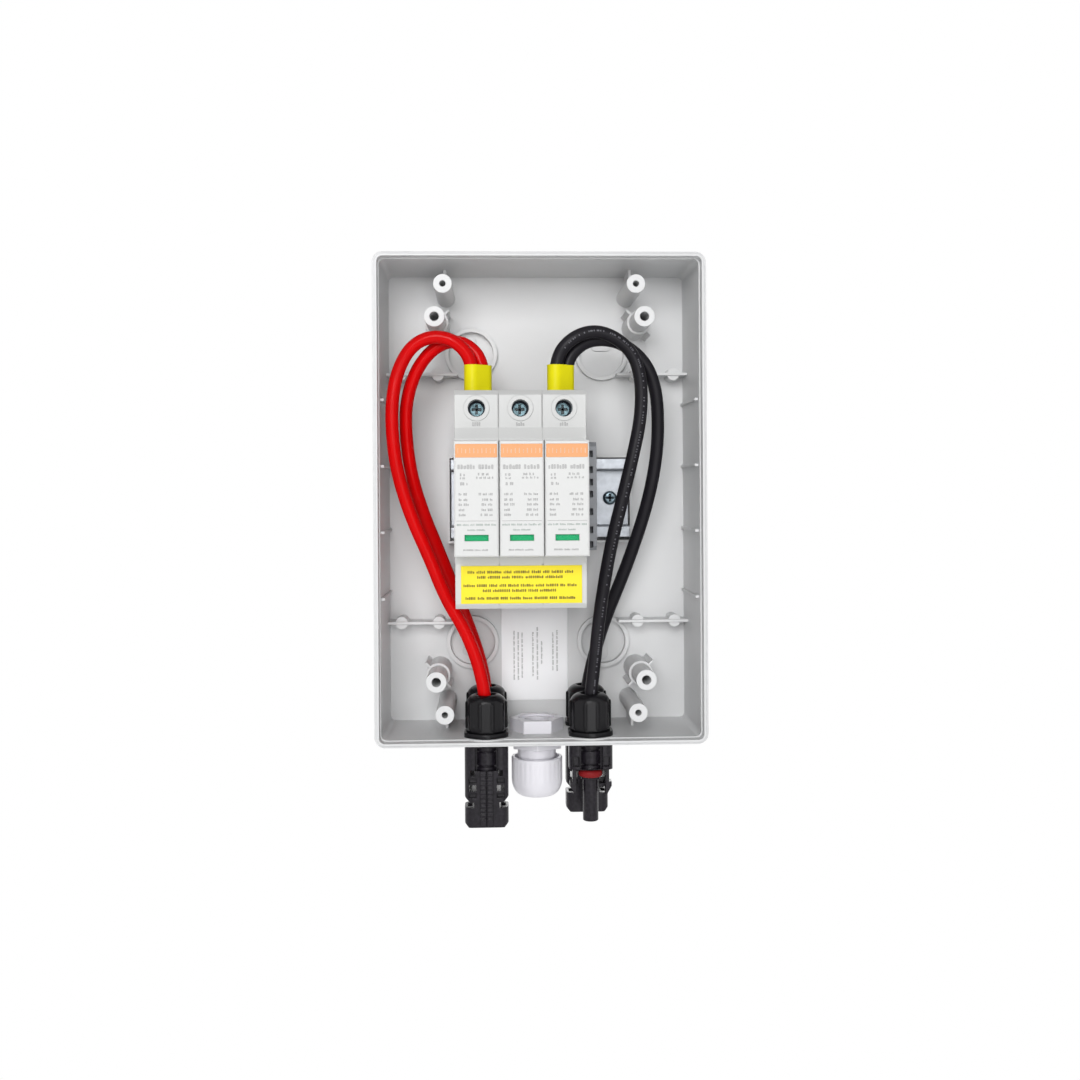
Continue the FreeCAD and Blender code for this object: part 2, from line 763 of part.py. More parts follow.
def pole_housing(i):
    """The moulded housing of one pole; the middle one has the guide for the rail foot."""
    x = pole_x[i]
    room = upper_terminal_room(x)
    removed = room + [mirrored_up(part) for part in room]
    if i > 0:
        removed += seam_grooves(x, -1)
    if i < pole_count - 1:
        removed += seam_grooves(x, 1)
    if x == spd_x:
        removed.append(foot_channel())
    rim = post(well_rim_radius, x, terminal_z, shelf_depth - 1, shelf_depth + well_rim_high)
    shape = pole_body(x).multiFuse(bay_cheeks(x) + [rail_hook(x), rim])
    return shape.cut(Part.makeCompound(removed)).removeSplitter()


def rail_foot():
    """A sliding foot with a lip behind the rail's lower flange and a tail to pull."""
    back = rail_front_depth + foot_gap
    neck = block(spd_x - foot_neck_half_width, spd_x + foot_neck_half_width, back,
                 back + foot_neck_thick + 0.1, foot_tail, foot_top)
    plate = block(spd_x - foot_half_width, spd_x + foot_half_width,
                  back + foot_neck_thick, back + foot_thick, foot_tail, foot_top)
    grip = -rail_height / 2 - hook_gap
    lip_front = rail_front_depth - rail_thick - hook_gap
    leg = block(spd_x - foot_neck_half_width, spd_x + foot_neck_half_width, lip_front - hook_lip,
                back + 0.5, grip - hook_thick, grip)
    lip = block(spd_x - foot_neck_half_width, spd_x + foot_neck_half_width, lip_front - hook_lip,
                lip_front, grip - 1, grip + hook_lip)
    slot_low = foot_tail + foot_slot_edge
    slot = block(spd_x - foot_slot_half_width, spd_x + foot_slot_half_width, back - 1,
                 back + foot_thick + 1, slot_low, slot_low + foot_slot_high)
    return plate.multiFuse([neck, leg, lip]).cut(slot)


def terminal_screw(x, side):
    z = side * terminal_z
    head0, head1 = terminal_head_depth
    head = post(terminal_head_radius, x, z, head0, head1)
    shank = post(terminal_screw_radius, x, z, terminal_screw_tip, head0 + 0.5)
    return head.fuse(shank).cut(cross_recess(x, z, head1, terminal_head_radius * 0.7))


def terminal_cage(x, side):
    """A folded cage that the screw draws up against the strip."""
    z0, z1 = clamp_cage_z
    d0, d1 = clamp_cage_depth
    cage = block(x - clamp_cage_half_x, x + clamp_cage_half_x, d0, d1, z0, z1)
    inside = block(x - clamp_cage_half_x + clamp_cage_wall, x + clamp_cage_half_x - clamp_cage_wall,
                   d0 + clamp_cage_wall, d1 - clamp_cage_front, z0 - 1, z1 + 1)
    tapped = post(terminal_screw_radius + screw_fit, x, terminal_z, d1 - clamp_cage_front - 1, d1 + 1)
    cage = cage.cut(inside).cut(tapped)
    return cage if side > 0 else mirrored_up(cage)


def contact_strip(x, side):
    """A folded strip from a clamp to the fork that takes a module's blade."""
    z0, z1 = clamp_cage_z
    top = z0 - 0.4
    shelf = clamp_cage_depth[1] - clamp_cage_front
    half = clamp_cage_half_x - clamp_cage_wall - 0.2
    tongue = block(x - half, x + half, shelf - strip_thick, shelf, top - strip_thick, z1 - 0.6)
    drop = block(x - half, x + half, strip_depth, shelf, top - strip_thick, top)
    run = block(x - strip_half_x, x + strip_half_x, strip_depth, strip_depth + strip_thick,
                blade_z + socket_half_z - strip_thick - hook_gap, top)
    fork = None
    for lean in (-1, 1):
        inner = blade_z + lean * (blade_thick / 2 + 0.15)
        outer = inner + lean * strip_thick * 0.75
        leaf = block(x - strip_half_x, x + strip_half_x, socket_room_depth + 0.5,
                     bay_floor_depth - 2, *sorted((inner, outer)))
        fork = leaf if fork is None else fork.fuse(leaf)
    bridge = block(x - strip_half_x, x + strip_half_x, socket_room_depth + 0.5,
                   socket_room_depth + 0.5 + strip_thick, blade_z - 1.4, blade_z + 1.4)
    joint = block(x - strip_half_x, x + strip_half_x, strip_depth, strip_depth + strip_thick,
                  blade_z + blade_thick, blade_z + socket_half_z - hook_gap)
    strip = tongue.multiFuse([drop, run, fork, bridge, joint])
    return strip if side > 0 else mirrored_up(strip)


def module_housing(x):
    """A hollow module shell, open at the back, with its status window and flag guides."""
    head = block(x - module_half_x, x + module_half_x, module_head_depth, module_front_depth,
                 module_bottom, module_top)
    front_edges = [e for e in head.Edges if e.BoundBox.YMax < 0.01 - module_front_depth]
    head = head.makeFillet(module_edge, front_edges)
    tail = block(x - module_rear_half_x, x + module_rear_half_x, module_rear_depth,
                 module_head_depth + 1, module_bottom, module_top)
    room_half = module_rear_half_x - module_wall
    front = module_front_depth - module_front_wall
    room = block(x - room_half, x + room_half, module_rear_depth - 1, front,
                 module_bottom + module_wall, module_top - module_wall)
    opening = block(x - window_half_x, x + window_half_x, front - 1, module_front_depth + 1,
                    window_z - window_half_z, window_z + window_half_z)
    shape = head.fuse(tail).cut(room).cut(opening)
    guide_low = module_bottom + module_wall - 0.5
    guide_high = flag_bottom + flag_high + 1
    for lean in (-1, 1):
        wall_x = sorted((x + lean * (flag_half_x + flag_gap), x + lean * (room_half + 0.2)))
        lip_x = sorted((x + lean * (flag_half_x - guide_lip), x + lean * (room_half + 0.2)))
        shape = shape.fuse(block(*wall_x, flag_back - flag_gap - guide_lip, front - 0.8, guide_low,
                                 guide_high))
        shape = shape.fuse(block(*lip_x, flag_back - flag_gap - guide_lip, flag_back - flag_gap,
                                 guide_low, guide_high))
    for face in (module_bottom, module_top):
        for i in range(grip_count):
            depth = module_front_depth - module_edge - 1.6 - i * grip_pitch
            shape = shape.cut(block(x - module_half_x * 0.7, x + module_half_x * 0.7,
                                    depth - grip_width, depth, face - grip_deep, face + grip_deep))
    return shape.removeSplitter()


def module_back(x):
    """The plate that closes a module, slotted for its two blades."""
    half = module_rear_half_x - module_wall - window_fit
    d1 = module_rear_depth + module_back_thick
    plate = block(x - half, x + half, module_rear_depth, d1,
                  module_bottom + module_wall + window_fit, module_top - module_wall - window_fit)
    for side in (-1, 1):
        z = side * blade_z
        plate = plate.cut(block(x - blade_half_x - 0.05, x + blade_half_x + 0.05,
                                module_rear_depth - 1, d1 + 1,
                                z - blade_thick / 2 - 0.05, z + blade_thick / 2 + 0.05))
    return plate


def module_blade(x, side):
    """A blade with a foot that is soldered to the varistor."""
    z = side * blade_z
    half = blade_thick / 2
    back_of_block = varistor_back
    blade = block(x - blade_half_x, x + blade_half_x, blade_end_depth, back_of_block,
                  z - half, z + half)
    tip_edges = [e for e in blade.Edges
                 if e.BoundBox.YMin > -blade_end_depth - 0.01 and e.BoundBox.XLength > 1]
    blade = blade.makeChamfer(half * 0.6, tip_edges)
    foot = block(x - blade_half_x, x + blade_half_x, back_of_block - blade_thick, back_of_block,
                 *sorted((z + side * half, z - side * 4)))
    return blade.fuse(foot)


def varistor(x):
    """A sealed block with rounded corners."""
    middle = (varistor_z[0] + varistor_z[1]) / 2
    half_z = (varistor_z[1] - varistor_z[0]) / 2
    half_d = (varistor_front - varistor_back) / 2
    depth = (varistor_front + varistor_back) / 2
    low = middle - half_z
    shape = plan_bar(varistor_half_x, half_d, 2.0, x, depth, low, low + 2 * half_z)
    foot = block(x - blade_half_x, x + blade_half_x, varistor_back,
                 varistor_back + varistor_foot_thick, -blade_z - 1, low + 1)
    return shape.fuse(foot)


def status_flag(x):
    shape = block(x - flag_half_x, x + flag_half_x, flag_back, flag_front,
                  flag_bottom, flag_bottom + flag_high)
    tab = block(x - 2, x + 2, flag_back - flag_tab, flag_back + 0.1,
                flag_bottom + flag_high - 2.2, flag_bottom + flag_high)
    return shape.fuse(tab)


def status_window(x):
    """A clear plug with a flange behind the module's front wall."""
    inner_face = module_front_depth - module_front_wall
    half_x = window_half_x - window_fit
    half_z = window_half_z - window_fit
    plug = block(x - half_x, x + half_x, inner_face, module_front_depth - 0.3,
                 window_z - half_z, window_z + half_z)
    flange_x = min(half_x + window_flange, flag_half_x)
    flange = block(x - flange_x, x + flange_x, inner_face - window_flange_thick, inner_face,
                   window_z - half_z - window_flange, window_z + half_z + window_flange)
    return plug.fuse(flange)


def twin_outline(radius, x, z0, z1):
    """A bar round two leads side by side, the left one in front."""
    half = math.hypot(ferrule_pair_x, ferrule_pair_depth)
    wire = rounded_wire(half + radius, radius, radius - 0.01, lambda a, b: V(a, b, z0))
    bar = Part.Face(wire).extrude(V(0, 0, z1 - z0))
    turn = math.degrees(math.atan2(ferrule_pair_depth, ferrule_pair_x))
    bar.rotate(V(0, 0, 0), V(0, 0, 1), turn)
    bar.translate(V(x, -wire_depth, 0))
    return bar


def ferrule_sleeve(x):
    """A moulded sleeve round two leads, flared at its mouth and narrower at the bottom."""
    z0, z1 = ferrule_z
    sleeve = twin_outline(lead_radius + ferrule_wall, x, z0, z1)
    low_edges = [e for e in sleeve.Edges if e.BoundBox.ZMax < z0 + 0.01]
    sleeve = sleeve.makeChamfer(ferrule_wall, low_edges)
    pocket = twin_outline(lead_radius + ferrule_fit, x, z1 - ferrule_pocket, z1 + 1)
    pocket = pocket.fuse(twin_outline(lead_radius + ferrule_flare, x, z1 - ferrule_flare_deep, z1 + 1))
    hole = block(x - barrel_half_x, x + barrel_half_x, wire_depth - barrel_half_depth,
                 wire_depth + barrel_half_depth, z0 - 1, z1)
    return sleeve.cut(pocket).cut(hole)


def ferrule_barrel(x):
    """The crimped metal end that the clamp grips, pressed into the sleeve."""
    top = ferrule_z[1] - ferrule_pocket
    return plan_bar(barrel_half_x - screw_fit, barrel_half_depth - screw_fit, 0.8,
                    x, wire_depth, barrel_end_z, top)


def contact_bar(x, depth, end_z, tip_radius):
    """A turned contact: a crimp barrel, then a pin or socket."""
    barrel = column(contact_radius, x, depth, mate_bore_top_z, contact_top_z)
    return barrel.fuse(column(tip_radius, x, depth, end_z, mate_bore_top_z + 0.5))


def contact_socket(x, depth):
    """A turned contact, bored for a pin at its outer end."""
    end_z = nose_end_z + 2
    bar = contact_bar(x, depth, end_z, contact_radius)
    return bar.cut(column(pin_hole_radius, x, depth, end_z - 1, end_z + pin_hole_deep))


def connector_spigot(x, depth):
    """The threaded tube that goes up through the wall, with the lead's bore."""
    return column(spigot_radius, x, depth, shell_top_z - 1, spigot_top_z)


def lead_bores(x, depth, end_z):
    """The lead's bore and the narrower one for the contact."""
    wide = column(lead_radius + lead_fit, x, depth, contact_top_z, spigot_top_z + 1)
    return wide.fuse(column(contact_radius + contact_fit, x, depth, end_z, contact_top_z + 1))


def neck_window(x, depth, side):
    """The recess that bares the neck on the front or the back of a shell."""
    z0, z1 = neck_recess_z
    near = shell_half_depth - neck_recess_deep
    depths = sorted((depth + side * near, depth + side * (shell_half_depth + 2)))
    return block(x - neck_recess_half_x, x + neck_recess_half_x, *depths, z0, z1)


def bare_neck(x, depth):
    """The turned neck inside the recesses, with two grooves."""
    z0, z1 = neck_recess_z
    neck = column(neck_radius, x, depth, z0 - 0.5, z1 + 0.5)
    for z in (z0 + 1.2, z1 - 2.4):
        groove = ring(neck_radius + 1, neck_radius - neck_groove, x, depth, z, z + neck_groove)
        neck = neck.cut(groove)
    return neck


def shell_with_neck(body, x, depth):
    for side in (-1, 1):
        body = body.cut(neck_window(x, depth, side))
    return body.fuse(bare_neck(x, depth)).fuse(connector_spigot(x, depth))


def wide_shell_outline(x, depth):
    """Front view of the wide shell: wings, notches and a rounded head."""
    half = shell_half_x
    notch = half - notch_reach
    points = [(-half, shell_top_z), (-half, wing_end_z), (wing_chamfer - half, notch_z[1]),
              (-notch, notch_z[1]), (-notch, notch_z[0]), (-half, notch_z[0]),
              (-half, socket_end_z + head_corner), (head_corner - half, socket_end_z)]
    mirror = [(-px, z) for px, z in reversed(points)]
    front = depth + 2 * shell_half_depth
    corners = [V(x + px, -front, z) for px, z in points + mirror]
    face = Part.Face(Part.makePolygon(corners + corners[:1]))
    return face.extrude(V(0, 4 * shell_half_depth, 0))


def wide_spine(x, depth):
    """A ribbed spine down the front and the back, split by a groove."""
    top = neck_recess_z[0]
    reach = shell_half_depth + spine_proud
    spine = block(x - spine_half_x, x + spine_half_x, depth - reach, depth + reach,
                  socket_end_z + 0.6, top)
    ribs = []
    count = int((top - socket_end_z - 2.4) / rib_pitch)
    for i in range(count):
        z = top - 1.2 - i * rib_pitch
        ribs.append(block(x - spine_half_x, x + spine_half_x, depth - reach - rib_high,
                          depth + reach + rib_high, z - rib_wide, z))
    spine = spine.multiFuse(ribs)
    for side in (-1, 1):
        depths = sorted((depth + side * (reach - spine_groove), depth + side * (reach + 2)))
        spine = spine.cut(block(x - spine_groove / 2, x + spine_groove / 2, *depths,
                                socket_end_z, top + 1))
    return spine


def wide_shell(x, depth):
    """A panel connector with a deep socket, windowed wings and slots for its mate's fingers."""
    plan = plan_bar(shell_half_x, shell_half_depth, shell_corner, x, depth, socket_end_z, shell_top_z)
    body = plan.common(wide_shell_outline(x, depth))
    body = shell_with_neck(body.fuse(wide_spine(x, depth)), x, depth)
    cuts = [lead_bores(x, depth, socket_end_z),
            column(mate_bore_radius, x, depth, socket_end_z - 1, mate_bore_top_z)]
    front = shell_half_depth
    for side in (-1, 1):
        for z0, z1, near, far in window_spans:
            xs = sorted((x + side * near, x + side * far))
            cuts.append(block(*xs, depth - 2 * front, depth + 2 * front, z0, z1))
        for z0, z1 in pocket_spans:
            xs = sorted((x + side * window_spans[1][2], x + side * window_spans[1][3]))
            cuts.append(block(*xs, depth + front - pocket_deep, depth + 2 * front, z0, z1))
            cuts.append(block(*xs, depth - 2 * front, depth - front + pocket_deep, z0, z1))
        xs = sorted((x + side * latch_slot_x[0], x + side * latch_slot_x[1]))
        cuts.append(block(*xs, depth - latch_slot_half_depth, depth + latch_slot_half_depth,
                          socket_end_z - 1, notch_z[1]))
    return body.cut(Part.makeCompound(cuts)).removeSplitter()


def latch_finger(x, depth, side):
    """A spring finger with an outward hook at its tip."""
    x0, x1 = finger_x
    points = [(x0, shoulder_end_z + 1), (x0, finger_end_z), (x0 + 0.7, finger_end_z),
              (x1 + finger_hook, finger_hook_start_z - 1.8), (x1 + finger_hook, finger_hook_start_z),
              (x1, finger_hook_start_z), (x1, shoulder_end_z + 1)]
    near = depth - finger_half_depth
    corners = [V(x + side * px, -near, z) for px, z in points]
    face = Part.Face(Part.makePolygon(corners + corners[:1]))
    return face.extrude(V(0, -2 * finger_half_depth, 0))


def nose_shell(x, depth):
    """A panel connector with a slim nose between two spring fingers."""
    body = plan_bar(shell_half_x, shell_half_depth, shell_corner, x, depth,
                    shoulder_end_z, shell_top_z)
    body = shell_with_neck(body, x, depth)
    root_end = nose_seal_z[0] - 0.8
    body = body.fuse(column(nose_root_radius, x, depth, root_end, shoulder_end_z + 1))
    body = body.fuse(column(nose_radius, x, depth, nose_end_z, root_end + 1))
    tip = [e for e in body.Edges if e.BoundBox.ZMax < nose_end_z + 0.01]
    body = body.makeFillet(0.5, tip)
    for side in (-1, 1):
        body = body.fuse(latch_finger(x, depth, side))
    cuts = [lead_bores(x, depth, nose_end_z - 1),
            ring(nose_root_radius + 2, nose_root_radius - nose_seal_groove, x, depth, *nose_seal_z)]
    for side in (-1, 1):
        xs = sorted((x + side * shoulder_recess_x[0], x + side * shoulder_recess_x[1]))
        for face in (-1, 1):
            near = shell_half_depth - pocket_deep
            depths = sorted((depth + face * near, depth + face * 2 * shell_half_depth))
            cuts.append(block(*xs, *depths, *shoulder_recess_z))
    return body.cut(Part.makeCompound(cuts)).removeSplitter()


def nose_seal(x, depth):
    """A round ring that sits in the groove at the nose's root."""
    inner = nose_root_radius - nose_seal_groove + 0.05
    z0, z1 = nose_seal_z
    shape = ring(nose_seal_radius, inner, x, depth, z0 + 0.05, z1 - 0.05)
    outer_edges = [e for e in shape.Edges if e.BoundBox.XLength > 2 * nose_seal_radius - 0.1
                   and e.BoundBox.ZLength < 0.01]
    return shape.makeFillet((z1 - z0) * 0.4, outer_edges)


def panel_seal(x, depth):
    inner = spigot_radius + spigot_fit
    return ring(panel_seal_radius, inner, x, depth, shell_top_z, outer_seat_z)


def lock_nut(x, depth):
    """A flat nut with rounded points, inside the wall."""
    z1 = inner_seat_z + lock_nut_thick
    nut = prism(6, lock_nut_flats, x, depth, inner_seat_z, z1)
    nut = nut.common(column(lock_nut_radius, x, depth, inner_seat_z, z1))
    return nut.cut(column(spigot_radius + screw_fit, x, depth, inner_seat_z - 1, z1 + 1))


def cap_nut_dome(x, depth, radius):
    """The nut's outline in the round: a straight skirt under a rounded shoulder."""
    low = inner_seat_z + lock_nut_thick + nut_gap
    top = cap_nut_top_z
    lip = radius - cap_nut_corner + cap_nut_top_radius
    shoulder = V(radius, 0, cap_nut_shoulder_z)
    over = V(lip + (radius - lip) * math.cos(math.pi / 4), 0,
             cap_nut_shoulder_z + (top - cap_nut_shoulder_z) * math.sin(math.pi / 4))
    end = V(lip, 0, top)
    outline = [Part.makeLine(V(0, 0, low), V(radius, 0, low)),
               Part.makeLine(V(radius, 0, low), shoulder),
               Part.Arc(shoulder, over, end).toShape(),
               Part.makeLine(end, V(0, 0, top)), Part.makeLine(V(0, 0, top), V(0, 0, low))]
    dome = Part.Face(Part.Wire(outline)).revolve(V(0, 0, 0), V(0, 0, 1), 360)
    dome.translate(V(x, -depth, 0))
    return dome


def cap_nut(x, depth):
    """A many-sided nut with narrow raised ribs and a rounded shoulder towards the lead."""
    z0 = inner_seat_z + lock_nut_thick + nut_gap
    top = cap_nut_top_z
    nut = prism(cap_nut_sides, cap_nut_flats, x, depth, z0, top, 180 / cap_nut_sides)
    nut = nut.common(cap_nut_dome(x, depth, cap_nut_flats / math.cos(math.pi / cap_nut_sides)))
    ribs = []
    for i in range(cap_nut_sides // 2):
        rib = block(-cap_nut_corner, cap_nut_corner, -cap_nut_rib_half, cap_nut_rib_half,
                    z0 + 1.2, cap_nut_shoulder_z + 2.2)
        rib.rotate(V(0, 0, 0), V(0, 0, 1), i * 360 / cap_nut_sides)
        rib.translate(V(x, -depth, 0))
        ribs.append(rib)
    ribs = Part.makeCompound(ribs).common(cap_nut_dome(x, depth, cap_nut_corner))
    nut = nut.multiFuse(ribs.Solids)
    bore = column(spigot_radius + screw_fit, x, depth, z0 - 1, lead_seal_z[1])
    opening = column(cap_nut_opening, x, depth, z0, top + 1)
    return nut.cut(bore).cut(opening).removeSplitter()


def lead_seal(x, depth):
    z0, z1 = lead_seal_z
    return ring(lead_seal_radius, lead_radius + lead_fit, x, depth, spigot_top_z + 0.1, z1 - 0.1)


def gland_body():
    """A threaded tube with a hexagonal collar outside the wall."""
    x = gland_x
    depth = gland_depth
    collar_top = outer_seat_z - gland_washer_thick
    top = gland_nut_top_z - gland_top_below_nut
    shape = column(gland_thread_radius, x, depth, gland_body_end_z, top)
    shape = shape.fuse(column(gland_neck_radius, x, depth, gland_cap_z[1] + nut_gap, collar_top))
    collar = prism(6, gland_hex_flats, x, depth, gland_hex_end_z, collar_top)
    collar = collar.common(column(gland_nut_corner, x, depth, gland_hex_end_z, collar_top))
    bore = column(gland_bore, x, depth, gland_body_end_z - 1, top + 1)
    seat = column(gland_seal_radius + gland_fit, x, depth, gland_body_end_z - 1, gland_seal_z[1])
    return shape.fuse(collar).cut(bore).cut(seat)


def gland_lock_nut():
    z1 = gland_nut_top_z
    nut = prism(6, gland_nut_flats, gland_x, gland_depth, inner_seat_z, z1, gland_nut_turn)
    nut = nut.common(column(gland_nut_corner, gland_x, gland_depth, inner_seat_z, z1))
    hole = column(gland_thread_radius + screw_fit, gland_x, gland_depth, inner_seat_z - 1, z1 + 1)
    return nut.cut(hole)


def gland_washer():
    return ring(gland_washer_radius, gland_thread_radius + gland_fit, gland_x, gland_depth,
                outer_seat_z - gland_washer_thick, outer_seat_z)


def gland_cap():
    """A domed nut with fine flutes round its straight part."""
    z0, z1 = gland_cap_z
    wall_radius = gland_cap_radius
    dome_high = gland_cap_dome_z - z0
    side = wall_radius - gland_cap_mouth - 1
    start = V(gland_cap_mouth, 0, z0)
    rim = V(gland_cap_mouth + 1, 0, z0)
    over = V(rim.x + side * math.sin(0.8), 0, gland_cap_dome_z - dome_high * math.cos(0.8))
    shoulder = V(wall_radius, 0, gland_cap_dome_z)
    outline = [Part.makeLine(start, rim), Part.Arc(rim, over, shoulder).toShape(),
               Part.makeLine(shoulder, V(wall_radius, 0, z1)),
               Part.makeLine(V(wall_radius, 0, z1), V(wall_radius - gland_cap_lip, 0, z1)),
               Part.makeLine(V(wall_radius - gland_cap_lip, 0, z1),
                             V(wall_radius - gland_cap_lip, 0, z1 - gland_cap_lip_deep)),
               Part.makeLine(V(wall_radius - gland_cap_lip, 0, z1 - gland_cap_lip_deep),
                             V(gland_thread_radius + screw_fit, 0, z1 - gland_cap_lip_deep)),
               Part.makeLine(V(gland_thread_radius + screw_fit, 0, z1 - gland_cap_lip_deep),
                             V(gland_thread_radius + screw_fit, 0, gland_body_end_z - 1)),
               Part.makeLine(V(gland_thread_radius + screw_fit, 0, gland_body_end_z - 1),
                             V(gland_cap_mouth, 0, z0 + gland_cap_mouth_deep)),
               Part.makeLine(V(gland_cap_mouth, 0, z0 + gland_cap_mouth_deep), start)]
    cap = Part.Face(Part.Wire(outline)).revolve(V(0, 0, 0), V(0, 0, 1), 360)
    flutes = []
    for i in range(gland_cap_flutes):
        turn = 2 * math.pi * i / gland_cap_flutes
        reach = wall_radius + gland_cap_flute
        flutes.append(Part.makeCylinder(2 * gland_cap_flute, z1 - gland_cap_dome_z,
                                        V(reach * math.cos(turn), reach * math.sin(turn),
                                          gland_cap_dome_z)))
    cap = cap.cut(Part.makeCompound(flutes))
    cap.translate(V(gland_x, -gland_depth, 0))
    return cap


def gland_seal():
    """A rubber sleeve that the cap squeezes round a cable."""
    z0, z1 = gland_seal_z
    middle = gland_body_end_z - 0.6
    shape = column(gland_seal_radius, gland_x, gland_depth, middle, z1)
    shape = shape.fuse(cone(gland_seal_nose, gland_seal_radius, gland_x, gland_depth, z0, middle))
    return shape.cut(column(gland_seal_bore, gland_x, gland_depth, z0 - 1, z1 + 1))


def spd_label():
    """A printed label on the base's lower shelf, over the lower wells."""
    return block(*spd_label_x, shelf_depth, shelf_depth + label_thick, *spd_label_z)


def floor_label():
    return block(*floor_label_x, floor_thick, floor_thick + label_thick, *floor_label_z)


def bend_at(before, corner, after):
    """The arc at a corner: its two ends, its middle and its radius."""
    to_before = before - corner
    to_after = after - corner
    reach = 0.45 * min(to_before.Length, to_after.Length)
    to_before.normalize()
    to_after.normalize()
    half_turn = (math.pi - to_before.getAngle(to_after)) / 2
    radius = reach / math.tan(half_turn)
    inward = to_before + to_after
    inward.normalize()
    middle = corner + inward * (radius / math.cos(half_turn) - radius)
    return corner + to_before * reach, middle, corner + to_after * reach, radius


def lead(route, name):
    """A round lead along straight runs joined by arcs that touch them."""
    points = [V(*p) for p in route]
    edges = []
    radii = []
    last = points[0]
    for i in range(1, len(points) - 1):
        start, middle, end, radius = bend_at(points[i - 1], points[i], points[i + 1])
        edges.append(Part.LineSegment(last, start).toShape())
        edges.append(Part.Arc(start, middle, end).toShape())
        radii.append(radius)
        last = end
    edges.append(Part.LineSegment(last, points[-1]).toShape())
    path = Part.Wire(edges)
    section = Part.Wire(Part.makeCircle(lead_radius, points[0], points[1] - points[0]))
    tube = path.makePipeShell([section], True, False)
    expected = math.pi * lead_radius ** 2 * path.Length
    print(name, "length", round(path.Length, 1), "radii", [round(r, 1) for r in radii],
          "volume ratio", round(tube.Volume / expected, 5))
    return tube


def write(shapes):
    os.makedirs("parts", exist_ok=True)
    for name, shape in shapes.items():
        solids = shape.Solids
        if not solids or not shape.isValid():
            raise RuntimeError(name + " is not a valid solid")
        result = solids[0] if len(solids) == 1 else Part.makeCompound(solids)
        result.exportStep("parts/" + name + ".step")


def group(solids):
    return Part.makeCompound(solids)


def protector_pieces():
    shapes = {"rail_foot": rail_foot(), "spd_label": spd_label()}
    terminals = [(x, side) for x in pole_x for side in (1, -1)]
    shapes["terminal_screws"] = group([terminal_screw(x, side) for x, side in terminals])
    shapes["terminal_clamps"] = group([terminal_cage(x, side) for x, side in terminals])
    for i, x in enumerate(pole_x, 1):
        shapes["spd_base_%d" % i] = pole_housing(i - 1)
        shapes["upper_contact_%d" % i] = contact_strip(x, 1)
        shapes["lower_contact_%d" % i] = contact_strip(x, -1)
        shapes["module_housing_%d" % i] = module_housing(x)
        shapes["module_back_%d" % i] = module_back(x)
        shapes["module_blades_%d" % i] = group([module_blade(x, 1), module_blade(x, -1)])
        shapes["varistor_%d" % i] = varistor(x)
        shapes["status_flag_%d" % i] = status_flag(x)
        shapes["status_window_%d" % i] = status_window(x)
    return shapes


def wiring_pieces():
    positive_x = pole_x[0] + positive_ferrule_shift
    negative_x = pole_x[-1] + negative_ferrule_shift
    return {
        "positive_ferrule": ferrule_sleeve(positive_x),
        "negative_ferrule": ferrule_sleeve(negative_x),
        "ferrule_barrels": group([ferrule_barrel(positive_x), ferrule_barrel(negative_x)]),
        "positive_lead_front": lead(positive_front_route, "positive front"),
        "positive_lead_rear": lead(positive_rear_route, "positive rear"),
        "negative_lead_front": lead(negative_front_route, "negative front"),
        "negative_lead_rear": lead(negative_rear_route, "negative rear"),
    }


def connector_pieces():
    front = connector_front_depth
    rear = connector_rear_depth
    left = fittings_x - connector_x
    right = fittings_x + connector_x
    wide = [(left, front), (right, rear)]
    slim = [(left, rear), (right, front)]
    both = wide + slim
    return {
        "positive_front_shell": wide_shell(*wide[0]),
        "negative_rear_shell": wide_shell(*wide[1]),
        "positive_rear_shell": nose_shell(*slim[0]),
        "negative_front_shell": nose_shell(*slim[1]),
        "connector_lock_nuts": group([lock_nut(*place) for place in both]),
        "connector_cap_nuts": group([cap_nut(*place) for place in both]),
        "panel_seals": group([panel_seal(*place) for place in both]),
        "lead_seals": group([lead_seal(*place) for place in both]),
        "contact_pins": group([contact_bar(*place, pin_end_z, pin_radius) for place in wide]),
        "contact_sockets": group([contact_socket(*place) for place in slim]),
        "nose_seals": group([nose_seal(*place) for place in slim]),
    }


def gland_pieces():
    return {"gland_body": gland_body(), "gland_lock_nut": gland_lock_nut(),
            "gland_washer": gland_washer(), "gland_cap": gland_cap(), "gland_seal": gland_seal()}


shapes = {"enclosure_base": enclosure_base(), "din_rail": din_rail(), "end_clamp": end_clamp(),
          "rail_screws": group([rail_screw(-1), rail_screw(1)]), "floor_label": floor_label()}
shapes.update(protector_pieces())
shapes.update(wiring_pieces())
shapes.update(connector_pieces())
shapes.update(gland_pieces())
write(shapes)
print(len(shapes), "nodes")
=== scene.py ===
import json
import math
import random

import bmesh
import bpy
from mathutils import Matrix, Vector


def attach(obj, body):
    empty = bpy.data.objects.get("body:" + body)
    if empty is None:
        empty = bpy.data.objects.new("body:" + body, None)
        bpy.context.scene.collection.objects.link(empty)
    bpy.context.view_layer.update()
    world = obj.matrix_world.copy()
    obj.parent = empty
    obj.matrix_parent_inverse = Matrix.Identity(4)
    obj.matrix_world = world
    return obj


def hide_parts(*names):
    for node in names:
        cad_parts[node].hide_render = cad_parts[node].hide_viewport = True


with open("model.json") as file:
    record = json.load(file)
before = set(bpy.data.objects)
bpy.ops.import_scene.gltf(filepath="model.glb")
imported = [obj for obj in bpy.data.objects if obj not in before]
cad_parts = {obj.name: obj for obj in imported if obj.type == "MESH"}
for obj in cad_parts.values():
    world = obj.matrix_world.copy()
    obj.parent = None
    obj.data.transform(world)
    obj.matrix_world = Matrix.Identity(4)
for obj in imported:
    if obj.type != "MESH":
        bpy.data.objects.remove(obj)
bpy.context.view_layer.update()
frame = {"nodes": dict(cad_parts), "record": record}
MM = 0.001

